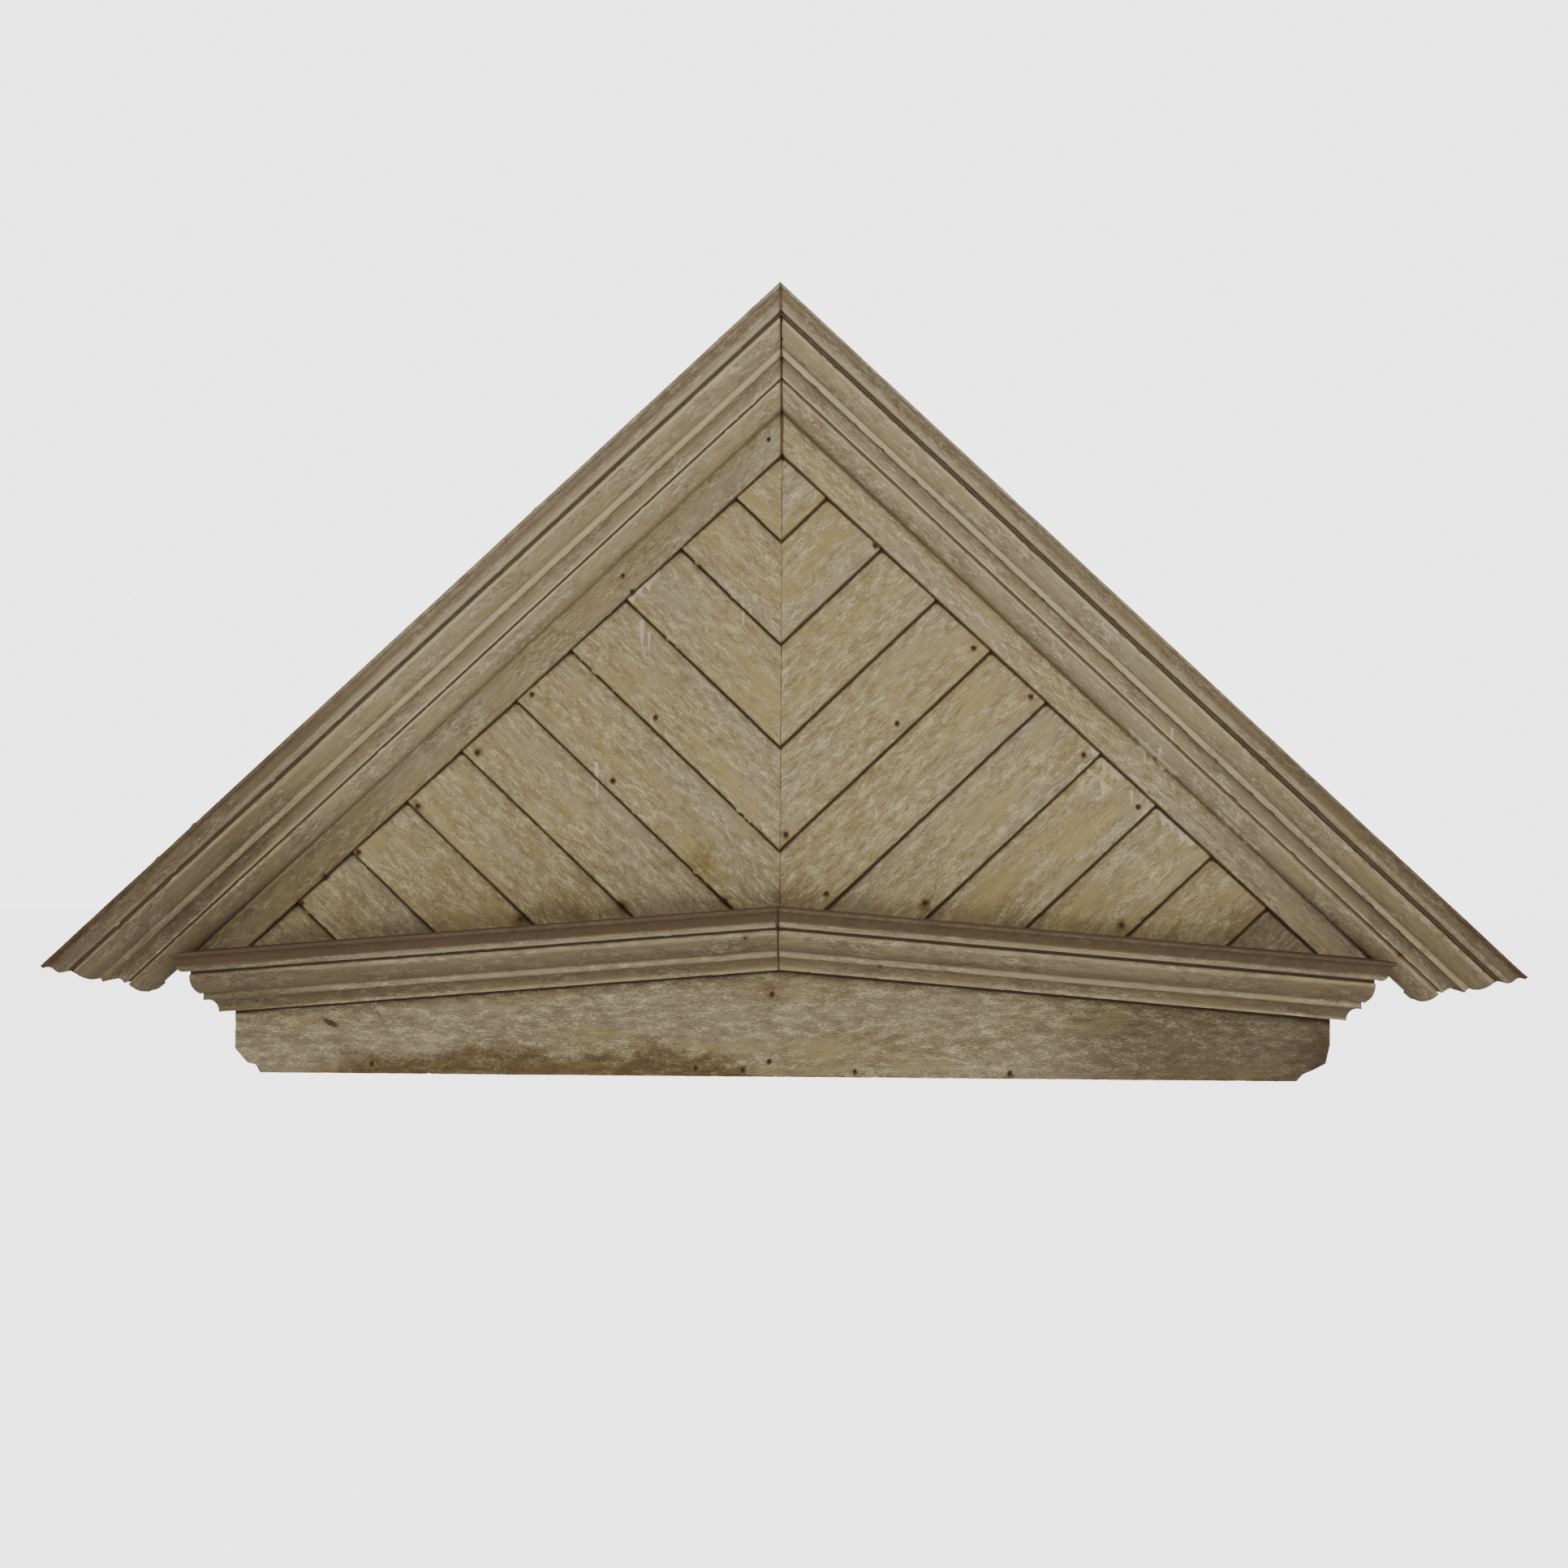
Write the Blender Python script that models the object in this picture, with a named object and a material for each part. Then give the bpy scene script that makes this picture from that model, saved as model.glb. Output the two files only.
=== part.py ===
"""Triangular pediment of painted wood, as planted over a porch or a doorway.

Two raking boards meet in a mitre at the apex and carry stacked mouldings, which return to the wall at
the eaves. A wide base board below carries the same mouldings without the bed mould, laid to a shallow
gable. Lapped clapboards fill the field in a chevron. The back lies in the wall plane, y = 0, the front
faces -Y, and the origin is the middle of the base board's back.
"""
import bmesh
import bpy
from math import ceil, cos, pi, radians, sin, sqrt, tan
from mathutils import Matrix, Vector

# Clearances
GAP = 0.0003                # between pieces that touch
MITRE_JOINT = 0.0026        # open mitre of the mouldings at the apex and of the clapboards
CORNICE_JOINT = 0.0010      # mitre of the lower mouldings at the centre

# Rakes
RAKE_PITCH = radians(42.9)
EAVE_OVERHANG = 0.2874      # from the end of the base board out to the crown's tip
RAKE_FACE = 0.189           # outer edge to the inner edge of the raking board
RAKE_PROJECTION = 0.098     # crown's front over the raking board's face
RAKE_BOARD = 0.024          # thickness
NOTCH_COVER = 0.002         # how far the bed mould covers the notch in the raking board

# Lower cornice and base board
CORNICE_SLOPE = radians(4.7)
CORNICE_PROJECTION = 0.085  # crown's front over the base board's face
TIP_INSET = 0.1234          # tip of the lower crown, square in from the outer edge of the rake
BASE_LENGTH = 1.781
BASE_HEIGHT = 0.279         # at the centre
BASE_BOARD = 0.024          # thickness

# Broken corners of the base board, as steps inward and upward from the sound corner
BREAK_LEFT = ((0.042, 0.000), (0.034, 0.013), (0.021, 0.016), (0.003, 0.036))
BREAK_RIGHT = ((0.054, 0.000), (0.044, 0.011), (0.024, 0.020), (0.007, 0.029), (0.001, 0.056))

# Mouldings, from the top down
CROWN_FILLET = 0.005
CROWN_HEIGHT = 0.0225       # of the cyma below its fillet
CROWN_REACH = 0.019         # of the cyma
QUIRK_HEIGHT = 0.0075       # groove between the crown and the ovolo
QUIRK_DEPTH = 0.014
OVOLO_SET = 0.007           # nose of the ovolo behind the foot of the crown
OVOLO_HEIGHT = 0.034
OVOLO_LIP = 0.004           # radius of the upper edge
OVOLO_FALL = 0.026          # depth of the ellipse that the ovolo's face follows
OVOLO_SPAN = 0.034          # height of that ellipse
FILLET_SET = 0.0045
FILLET_HEIGHT = 0.011
COVE_SET = 0.004            # head of the cove behind the fillet
COVE_REACH = 0.016
COVE_HEIGHT = 0.022
BED_QUIRK_HEIGHT = 0.0045
BED_QUIRK_DEPTH = 0.008
BED_SET = 0.002             # face of the bed mould behind the foot of the cove
BED_FALL = 0.020
BED_HEIGHT = 0.0315

# Clapboards
SEAM_ANGLE = radians(43.6)
FIRST_EXPOSURE = 0.101      # apex of the field to the first seam
EXPOSURE = 0.122
LAP = 0.028
THIN_EDGE = 0.005
BUTT_EDGE = 0.012

ARC_STEPS = 7               # facets of each quarter curve

OUT = Vector((0, -1, 0))    # away from the wall
RAKE_LENGTH = (BASE_LENGTH / 2 + EAVE_OVERHANG) / cos(RAKE_PITCH)
CORNICE_TIP = BASE_LENGTH / 2 + GAP + CORNICE_PROJECTION
CORNICE_DROP = ((TIP_INSET + CORNICE_TIP * sin(RAKE_PITCH)) / cos(RAKE_PITCH)
                - CORNICE_TIP * tan(CORNICE_SLOPE))
APEX = Vector((0, 0, CORNICE_DROP + BASE_HEIGHT / 2))
SIDES = (("left", -1), ("right", 1))

PAINT = (0.36, 0.32, 0.235)
PAINT_BOARD = (0.40, 0.355, 0.265)
PAINT_WORN = (0.30, 0.245, 0.165)


def clear_scene():
    for item in list(bpy.data.objects):
        bpy.data.objects.remove(item, do_unlink=True)


def make_collection(name):
    collection = bpy.data.collections.new(name)
    bpy.context.scene.collection.children.link(collection)
    return collection


def paint(name, colour):
    material = bpy.data.materials.new(name)
    material.use_nodes = True
    shader = material.node_tree.nodes["Principled BSDF"]
    shader.inputs["Base Color"].default_value = (*colour, 1)
    shader.inputs["Roughness"].default_value = 0.8
    shader.inputs["Metallic"].default_value = 0
    material.diffuse_color = (*colour, 1)
    return material


def axes(across, up, origin):
    """Placement of a section: its x along across, its y along up."""
    along = across.cross(up)
    placement = Matrix((across, up, along)).transposed().to_4x4()
    placement.translation = origin
    return placement


def prism(name, outline, length, placement, collection, colour, trims=()):
    """Extrude an outline to both sides of its plane and saw off what lies beyond each trim plane."""
    curve = bpy.data.curves.new(name + "_outline", "CURVE")
    curve.dimensions = "2D"
    curve.fill_mode = "BOTH"
    curve.extrude = length / 2
    spline = curve.splines.new("POLY")
    spline.points.add(len(outline) - 1)
    for point, (x, y) in zip(spline.points, outline):
        point.co = (x, y, 0, 1)
    spline.use_cyclic_u = True
    guide = bpy.data.objects.new(name + "_outline", curve)
    collection.objects.link(guide)
    guide.matrix_world = placement
    scene_state = bpy.context.evaluated_depsgraph_get()
    mesh = bpy.data.meshes.new_from_object(guide.evaluated_get(scene_state))
    mesh.name = name
    bpy.data.objects.remove(guide, do_unlink=True)
    bpy.data.curves.remove(curve)

    body = bmesh.new()
    body.from_mesh(mesh)
    bmesh.ops.remove_doubles(body, verts=body.verts, dist=1e-6)
    to_local = placement.inverted()
    for point, normal in trims:
        saw(body, to_local @ point, to_local.to_3x3() @ normal)
    bmesh.ops.recalc_face_normals(body, faces=body.faces)
    body.to_mesh(mesh)
    body.free()

    piece = bpy.data.objects.new(name, mesh)
    piece.matrix_world = placement
    collection.objects.link(piece)
    mesh.materials.clear()
    mesh.materials.append(paint(name + "_paint", colour))
    mesh.shade_smooth()
    mesh.set_sharp_from_angle(angle=radians(28))
    return piece


def saw(body, point, normal):
    """Remove what lies on the normal's side of a plane and close the cut."""
    parts = body.verts[:] + body.edges[:] + body.faces[:]
    bmesh.ops.bisect_plane(body, geom=parts, dist=1e-7, plane_co=point, plane_no=normal, clear_outer=True)
    rim = [edge for edge in body.edges if edge.is_boundary]
    bmesh.ops.holes_fill(body, edges=rim, sides=0)


def quarter(start, end, hollow):
    """Points of a quarter ellipse between two corners of a section, without the first one.

    A round one leaves its start heading down, a hollow one leaves it heading inward.
    """
    across, down = end[0] - start[0], end[1] - start[1]
    points = []
    for step in range(1, ARC_STEPS + 1):
        turn = step / ARC_STEPS * pi / 2
        if hollow:
            points.append((start[0] + across * sin(turn), start[1] + down * (1 - cos(turn))))
        else:
            points.append((start[0] + across * (1 - cos(turn)), start[1] + down * sin(turn)))
    return points


def closed(face, back=0.0):
    """A section: the moulded face, from the top down, closed at the back."""
    return [(back, face[0][1])] + face + [(back, face[-1][1])]


class Stack:
    """Sections of the mouldings planted on a board, for one projection of the crown.

    Each section is given in the plane square to its run: x from the board's face outward, y upward from
    the crown's top.
    """

    def __init__(self, projection):
        self.projection = projection
        self.crown_foot = projection - CROWN_REACH
        self.quirk_back = self.crown_foot - QUIRK_DEPTH
        self.ovolo_top = -(CROWN_FILLET + CROWN_HEIGHT + QUIRK_HEIGHT)
        self.nose = self.crown_foot - OVOLO_SET
        self.ovolo_foot = self.ovolo_top - OVOLO_HEIGHT
        fall = (OVOLO_HEIGHT - OVOLO_LIP) / OVOLO_SPAN
        self.ovolo_back = self.nose - OVOLO_FALL * (1 - sqrt(max(0, 1 - fall * fall)))
        self.fillet = self.ovolo_back - FILLET_SET
        self.cove_top = self.ovolo_foot - FILLET_HEIGHT
        self.cove_foot = self.cove_top - COVE_HEIGHT
        self.cove_back = self.fillet - COVE_SET - COVE_REACH
        self.bed_face = self.cove_back - BED_SET
        self.bed_foot = self.cove_foot - BED_QUIRK_HEIGHT - BED_HEIGHT

    def crown(self):
        top = -CROWN_FILLET
        foot = top - CROWN_HEIGHT
        middle = (self.projection - CROWN_REACH * 0.48, top - CROWN_HEIGHT * 0.5)
        face = [(self.projection, 0), (self.projection, top)]
        face += quarter((self.projection, top), middle, True)
        face += quarter(middle, (self.crown_foot, foot), False)
        face += [(self.quirk_back, foot), (self.quirk_back, self.ovolo_top + GAP)]
        return closed(face)

    def ovolo(self):
        top = self.ovolo_top
        lip = (self.nose - OVOLO_LIP, top)
        face = [lip]
        for step in range(1, 4):
            turn = step / 3 * pi / 2
            face.append((lip[0] + OVOLO_LIP * sin(turn), top - OVOLO_LIP * (1 - cos(turn))))
        drop = self.ovolo_top - OVOLO_LIP - self.ovolo_foot
        for step in range(1, ARC_STEPS + 1):
            down = drop * step / ARC_STEPS
            fall = OVOLO_FALL * (1 - sqrt(max(0, 1 - (down / OVOLO_SPAN) ** 2)))
            face.append((self.nose - fall, top - OVOLO_LIP - down))
        face += [(self.fillet, self.ovolo_foot), (self.fillet, self.cove_top + GAP)]
        return closed(face)

    def cove(self):
        head = (self.fillet - COVE_SET, self.cove_top)
        face = [head] + quarter(head, (self.cove_back, self.cove_foot), True)
        return closed(face)

    def bed(self, swell=0.0):
        top = self.cove_foot - GAP
        lip = top - BED_QUIRK_HEIGHT
        foot = (self.bed_face - BED_FALL + swell, self.bed_foot - swell)
        face = [(self.bed_face - BED_QUIRK_DEPTH, top), (self.bed_face - BED_QUIRK_DEPTH, lip)]
        face += [(self.bed_face + swell, lip)]
        face += quarter(face[-1], foot, False)
        return closed(face)


class Run:
    """One sloping run of a cornice, from its mitre on the centre line to its corner at the outer end.

    The return at that corner projects along a direction of its own: on with the run at an eave, level
    at the end of the base board.
    """

    def __init__(self, side, start, slope, length, end_slope, projection, board):
        self.side, self.length, self.projection = side, length, projection
        self.along, self.up = self.directions(slope)
        self.end, self.end_up = self.directions(end_slope)
        self.face = board + GAP
        self.start = Vector((start.x, 0, start.z))

    def directions(self, slope):
        return (Vector((self.side * cos(slope), 0, -sin(slope))),
                Vector((self.side * sin(slope), 0, cos(slope))))

    def point(self, along, up, out=0.0):
        return self.start + self.along * along + self.up * up + OUT * out

    def flat(self, along, up):
        place = self.point(along, up)
        return place.x, place.z

    def mitre(self, joint):
        """Trim plane on the centre line."""
        return Vector((self.side * joint / 2, 0, 0)), Vector((-self.side, 0, 0))

    def corner(self, shift, sign):
        """Trim plane of the mitre at the outer end: sign 1 for the run, -1 for its return."""
        normal = (self.end - OUT).normalized()
        return self.point(self.length, 0, self.face) + normal * shift, normal * sign

    def return_section(self, section):
        """The section of the return whose edges meet those of the run in the mitre."""
        points = []
        for out, up in section:
            reach = (out - up * self.up.dot(self.end)) / self.along.dot(self.end)
            points.append((out, reach * self.along.dot(self.end_up) + up * self.up.dot(self.end_up)))
        return points


def plant(run, name, section, collection, colour, joint):
    """A moulding and its return: the section along the run and back to the wall, mitred together."""
    middle = run.point(run.length / 2, 0, run.face)
    side = "left" if run.side < 0 else "right"
    length = run.length + 4 * run.projection
    prism(f"{name}_{side}", section, length, axes(OUT, run.up, middle), collection, colour,
          [run.mitre(joint), run.corner(0, 1)])
    reach = run.face + run.projection
    end = run.point(run.length, 0, reach / 2)
    wall = (Vector((0, 0, 0)), Vector((0, 1, 0)))
    return prism(f"{name}_return_{side}", run.return_section(section), 2 * reach,
                 axes(run.end, run.end_up, end), collection, colour, [run.corner(GAP, -1), wall])


def upright(outline, thickness):
    """Placement for an outline given as (x, z), for a board whose back lies in the wall plane."""
    return [(x, z) for x, z in outline], axes(Vector((1, 0, 0)), Vector((0, 0, 1)),
                                              OUT * thickness / 2)


def build_rake(side_name, side, parts, cutters):
    length = RAKE_LENGTH - RAKE_PROJECTION
    run = Run(side, APEX, RAKE_PITCH, length, RAKE_PITCH, RAKE_PROJECTION, RAKE_BOARD)
    stack = Stack(RAKE_PROJECTION)
    plant(run, "rake_crown", stack.crown(), parts, PAINT_WORN, MITRE_JOINT)
    plant(run, "rake_ovolo", stack.ovolo(), parts, PAINT, MITRE_JOINT)
    plant(run, "rake_cove", stack.cove(), parts, PAINT, MITRE_JOINT)
    plant(run, "rake_bed", stack.bed(), parts, PAINT, MITRE_JOINT)

    # The raking board: its inner strip stops on the lower cornice, the rest runs on to the eave.
    end = run.point(length - GAP, 0), run.along
    notch = stack.bed_foot + NOTCH_COVER
    outline = [run.flat(0, 0), run.flat(RAKE_LENGTH, 0), run.flat(RAKE_LENGTH, notch),
               on_cornice(run, notch), on_cornice(run, -RAKE_FACE),
               (0, APEX.z - RAKE_FACE / cos(RAKE_PITCH))]
    flat, placement = upright(outline, RAKE_BOARD)
    prism(f"rake_board_{side_name}", flat, RAKE_BOARD, placement, parts, PAINT_BOARD,
          [run.mitre(GAP), end])

    # Room for the bed mould and the board where the lower crown's return meets them.
    section = closed(stack.bed(GAP)[1:-1], -RAKE_BOARD * 1.5)
    middle = run.point(run.length / 2, 0, run.face)
    cutter = prism(f"rake_room_{side_name}", section, run.length, axes(OUT, run.up, middle), cutters, PAINT)
    cutter.hide_render = True
    cutter.display_type = "WIRE"
    return cutter, on_cornice(run, -RAKE_FACE)


def on_cornice(run, up):
    """Where a line at the given height of a rake meets the top of the lower cornice."""
    top = APEX.z - CORNICE_DROP + GAP
    start = run.point(0, up)
    # start + t * along lies on z = top - |x| * tan(slope)
    fall = run.along.z + run.side * run.along.x * tan(CORNICE_SLOPE)
    t = (top - run.side * start.x * tan(CORNICE_SLOPE) - start.z) / fall
    return run.flat(t, up)


def build_cornice(side, parts, room):
    start = Vector((0, 0, APEX.z - CORNICE_DROP))
    length = (BASE_LENGTH / 2 + GAP) / cos(CORNICE_SLOPE)
    run = Run(side, start, CORNICE_SLOPE, length, 0, CORNICE_PROJECTION, BASE_BOARD)
    stack = Stack(CORNICE_PROJECTION)
    crown_return = plant(run, "cornice_crown", stack.crown(), parts, PAINT_WORN, CORNICE_JOINT)
    plant(run, "cornice_ovolo", stack.ovolo(), parts, PAINT, CORNICE_JOINT)
    plant(run, "cornice_cove", stack.cove(), parts, PAINT, CORNICE_JOINT)
    cut = crown_return.modifiers.new("meets the rake", "BOOLEAN")
    cut.operation = "DIFFERENCE"
    cut.solver = "EXACT"
    cut.object = room


def build_base(parts):
    half, foot = BASE_LENGTH / 2, -BASE_HEIGHT / 2
    top = BASE_HEIGHT / 2
    outline = [(-half + inward, foot + upward) for inward, upward in reversed(BREAK_LEFT)]
    outline += [(half - inward, foot + upward) for inward, upward in BREAK_RIGHT]
    outline += [(half, outline[-1][1] + 0.004), (half, top - half * tan(CORNICE_SLOPE)), (0, top),
                (-half, top - half * tan(CORNICE_SLOPE)), (-half, outline[0][1] + 0.004)]
    flat, placement = upright(outline, BASE_BOARD)
    prism("base_board", flat, BASE_BOARD, placement, parts, PAINT_BOARD)


def build_clapboards(side_name, side, corner, parts):
    """Wedge boards lapped like shingles: each butt lies on the thin part of the next one down.

    They fill the field from its apex to its outer corner, on the lower cornice.
    """
    width = EXPOSURE + LAP
    share = LAP / width
    lift = THIN_EDGE + (share * BUTT_EDGE + GAP) / (1 - share)
    section = [(0, 0), (width, lift), (width, lift + BUTT_EDGE), (0, THIN_EDGE)]
    field_top = Vector((0, 0, APEX.z - (RAKE_FACE + GAP) / cos(RAKE_PITCH)))
    inward = Vector((-side * cos(SEAM_ANGLE), 0, -sin(SEAM_ANGLE)))
    down = Vector((side * sin(SEAM_ANGLE), 0, -cos(SEAM_ANGLE)))
    reach = (Vector((corner[0], 0, corner[1])) - field_top).dot(down)
    count = 1 + ceil((reach - FIRST_EXPOSURE) / EXPOSURE)
    length = 4 * reach
    rake_normal = Vector((side * sin(RAKE_PITCH), 0, cos(RAKE_PITCH)))
    sill = Vector((0, 0, APEX.z - CORNICE_DROP + GAP / cos(CORNICE_SLOPE)))
    sill_normal = Vector((-side * sin(CORNICE_SLOPE), 0, -cos(CORNICE_SLOPE)))
    trims = [(Vector((side * MITRE_JOINT / 2, 0, 0)), Vector((-side, 0, 0))),
             (field_top, rake_normal), (sill, sill_normal)]
    for number in range(1, count + 1):
        butt = FIRST_EXPOSURE + (number - 1) * EXPOSURE
        origin = field_top + down * (butt - width)
        prism(f"clapboard_{side_name}_{number:02d}", section, length, axes(down, OUT, origin), parts,
              PAINT_BOARD, trims)


def build():
    clear_scene()
    parts = make_collection("triangular_pediment")
    cutters = make_collection("cutters")
    build_base(parts)
    for side_name, side in SIDES:
        room, corner = build_rake(side_name, side, parts, cutters)
        build_cornice(side, parts, room)
        build_clapboards(side_name, side, corner, parts)


build()
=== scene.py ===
"""Looks of the triangular pediment: weathered, flaked paint over old softwood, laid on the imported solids."""
from math import ceil, cos, hypot, pi, radians, sin, sqrt, tan

import bmesh
import bpy
import numpy as np
from mathutils import Matrix, Vector
from mathutils.bvhtree import BVHTree


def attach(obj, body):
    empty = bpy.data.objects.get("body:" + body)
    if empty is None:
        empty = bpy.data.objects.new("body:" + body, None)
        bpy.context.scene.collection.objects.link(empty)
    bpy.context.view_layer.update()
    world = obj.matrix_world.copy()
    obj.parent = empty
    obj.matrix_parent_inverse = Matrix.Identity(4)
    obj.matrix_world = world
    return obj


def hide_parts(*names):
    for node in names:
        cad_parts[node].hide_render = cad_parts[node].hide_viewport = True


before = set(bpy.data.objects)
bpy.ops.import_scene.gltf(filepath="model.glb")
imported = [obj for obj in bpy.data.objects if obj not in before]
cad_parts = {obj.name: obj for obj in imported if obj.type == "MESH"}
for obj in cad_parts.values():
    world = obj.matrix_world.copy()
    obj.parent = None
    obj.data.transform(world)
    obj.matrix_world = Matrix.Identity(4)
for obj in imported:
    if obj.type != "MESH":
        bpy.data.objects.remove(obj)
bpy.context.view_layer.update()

# ---- sizes in metres, as in the part's source
GAP, CORNICE_JOINT = 0.0003, 0.0010
RAKE_PITCH, RAKE_FACE, RAKE_PROJECTION, RAKE_BOARD = radians(42.9), 0.189, 0.098, 0.024
CORNICE_SLOPE, CORNICE_PROJECTION = radians(4.7), 0.085
EAVE_OVERHANG, TIP_INSET = 0.2874, 0.1234
BASE_LENGTH, BASE_HEIGHT, BASE_BOARD = 1.781, 0.279, 0.024
# The broken lower corners: how far in from the end and up from the foot each point lies
BREAK_LEFT = ((0.042, 0.000), (0.034, 0.013), (0.021, 0.016), (0.003, 0.036))
BREAK_RIGHT = ((0.054, 0.000), (0.044, 0.011), (0.024, 0.020), (0.007, 0.029), (0.001, 0.056))
LEFT_END_RISE, RIGHT_END_RISE = 0.040, 0.060
CROWN_FILLET, CROWN_HEIGHT, CROWN_REACH = 0.005, 0.0225, 0.019
QUIRK_HEIGHT = 0.0075
OVOLO_SET, OVOLO_HEIGHT, OVOLO_LIP, OVOLO_FALL, OVOLO_SPAN = 0.007, 0.034, 0.004, 0.026, 0.034
FILLET_SET, FILLET_HEIGHT = 0.0045, 0.011
COVE_SET, COVE_REACH, COVE_HEIGHT = 0.004, 0.016, 0.022
BED_QUIRK_HEIGHT, BED_SET, BED_FALL, BED_HEIGHT = 0.0045, 0.002, 0.020, 0.0315
SEAM_ANGLE, FIRST_EXPOSURE, EXPOSURE, LAP = radians(43.6), 0.101, 0.122, 0.028
THIN_EDGE, BUTT_EDGE, BOARDS = 0.005, 0.012, 10

OUT = Vector((0, -1, 0))
HALF_BASE, BASE_TOP = BASE_LENGTH / 2, BASE_HEIGHT / 2
RAKE_LENGTH = (HALF_BASE + EAVE_OVERHANG) / cos(RAKE_PITCH)
CORNICE_TIP = HALF_BASE + GAP + CORNICE_PROJECTION
CORNICE_DROP = (TIP_INSET + CORNICE_TIP * sin(RAKE_PITCH)) / cos(RAKE_PITCH) - CORNICE_TIP * tan(CORNICE_SLOPE)
APEX = Vector((0, 0, CORNICE_DROP + BASE_TOP))
FIELD_TOP = Vector((0, 0, APEX.z - (RAKE_FACE + GAP) / cos(RAKE_PITCH)))
SILL_TOP = BASE_TOP + GAP / cos(CORNICE_SLOPE)

# ---- finer sizes, which only the looks have
STATION, FINE, COARSE = 0.0046, 0.0024, 0.014      # mesh rows along a run, and round its seen and hidden faces
RAKE_QUIRK, CORNICE_QUIRK = (0.0046, 0.0046), (0.0042, 0.0085)      # height and depth, half filled by old paint
BED_QUIRK_DEPTH = 0.0034
FILLET_CLEARANCE = 0.00002      # between the ovolo's underside and the cove
APEX_JOINT, CROWN_OVERLAP = 0.0004, 0.0010
SHARP = radians(38)
WALL_CORNERS = 12      # a face with more corners than this is an end
CENTRE_OVERLAP, BOARD_MITRE = 0.0002, 0.0001      # how far the clapboards and the raking boards pass the middle
TUCK = 0.004      # how far the field goes behind the raking boards and the lower cornice
# How near to a corner of its kind a mark reaches, along the section. Pale and palest are painted highlights, shade is
# painted shade, line is a painted dark line of shade, and groove is grime with painted shade in the quirks and a
# painted shadow under each clapboard's butt
REACH = {"arris": 0.0032, "edge": 0.0032, "groove": 0.0055, "line": 0.0022,
         "pale": 0.0046, "palest": 0.0056, "shade": 0.0070}
# Painted highlight on the face of the ovolo's fillet, brightest at its top and fading towards its foot
FACE_TONE, FACE_FADE = 1.15, 0.60
WEATHER = dict(Warp=0.0015, Arris_Wear=0.0012, Chip_Depth=0.0022, Chip_Share=0.60, Grain_Relief=0.0004)


# ---- node helpers
def add(tree, kind, inputs=None, **settings):
    node = tree.nodes.new(kind)
    for name, value in settings.items():
        setattr(node, name, value)
    for name, value in (inputs or {}).items():
        socket = node.inputs[name]
        if isinstance(value, bpy.types.NodeSocket):
            tree.links.new(value, socket)
        else:
            socket.default_value = value
    return node


def math(tree, operation, value, *others, clamp=False):
    """The operation on the value and each of the others in turn."""
    for other in others or (0.0,):
        value = add(tree, "ShaderNodeMath", {0: value, 1: other}, operation=operation, use_clamp=clamp).outputs[0]
    return value


def times(tree, *values):
    return math(tree, "MULTIPLY", *values)


def plus(tree, *values, clamp=False):
    return math(tree, "ADD", *values, clamp=clamp)


def minus(tree, *values):
    return math(tree, "SUBTRACT", *values)


def vector(tree, operation, value, *others):
    second = "Scale" if operation == "SCALE" else 1
    for other in others:
        node = add(tree, "ShaderNodeVectorMath", {0: value, second: other}, operation=operation)
        value = node.outputs["Value" if operation == "DOT_PRODUCT" else "Vector"]
    return value


def ramp(tree, value, low, high, from_value=0.0, to_value=1.0):
    node = add(tree, "ShaderNodeMapRange", {"Value": value, "From Min": low, "From Max": high,
                                            "To Min": from_value, "To Max": to_value},
               interpolation_type="SMOOTHSTEP")
    return node.outputs["Result"]


def named(tree, name, kind="FLOAT"):
    return add(tree, "GeometryNodeInputNamedAttribute", {"Name": name}, data_type=kind).outputs["Attribute"]


def store(tree, geometry, name, value, kind="FLOAT"):
    return add(tree, "GeometryNodeStoreNamedAttribute", {"Geometry": geometry, "Name": name, "Value": value},
               data_type=kind).outputs[0]


def new_tree(name, kind, inputs, outputs):
    tree = bpy.data.node_groups.new(name, kind)
    for direction, sockets in (("INPUT", inputs), ("OUTPUT", outputs)):
        for label, socket, *value in sockets:
            item = tree.interface.new_socket(label, in_out=direction, socket_type="NodeSocket" + socket)
            if value:
                item.default_value = value[0]
    return tree, add(tree, "NodeGroupInput").outputs, add(tree, "NodeGroupOutput").inputs


def finish_geometry(tree, geometry, material, output):
    """Realises the geometry and gives it its material, at the end of a tree."""
    whole = add(tree, "GeometryNodeRealizeInstances", {"Geometry": geometry})
    coated = add(tree, "GeometryNodeSetMaterial", {"Geometry": whole.outputs[0], "Material": material})
    tree.links.new(coated.outputs[0], output)


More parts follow.
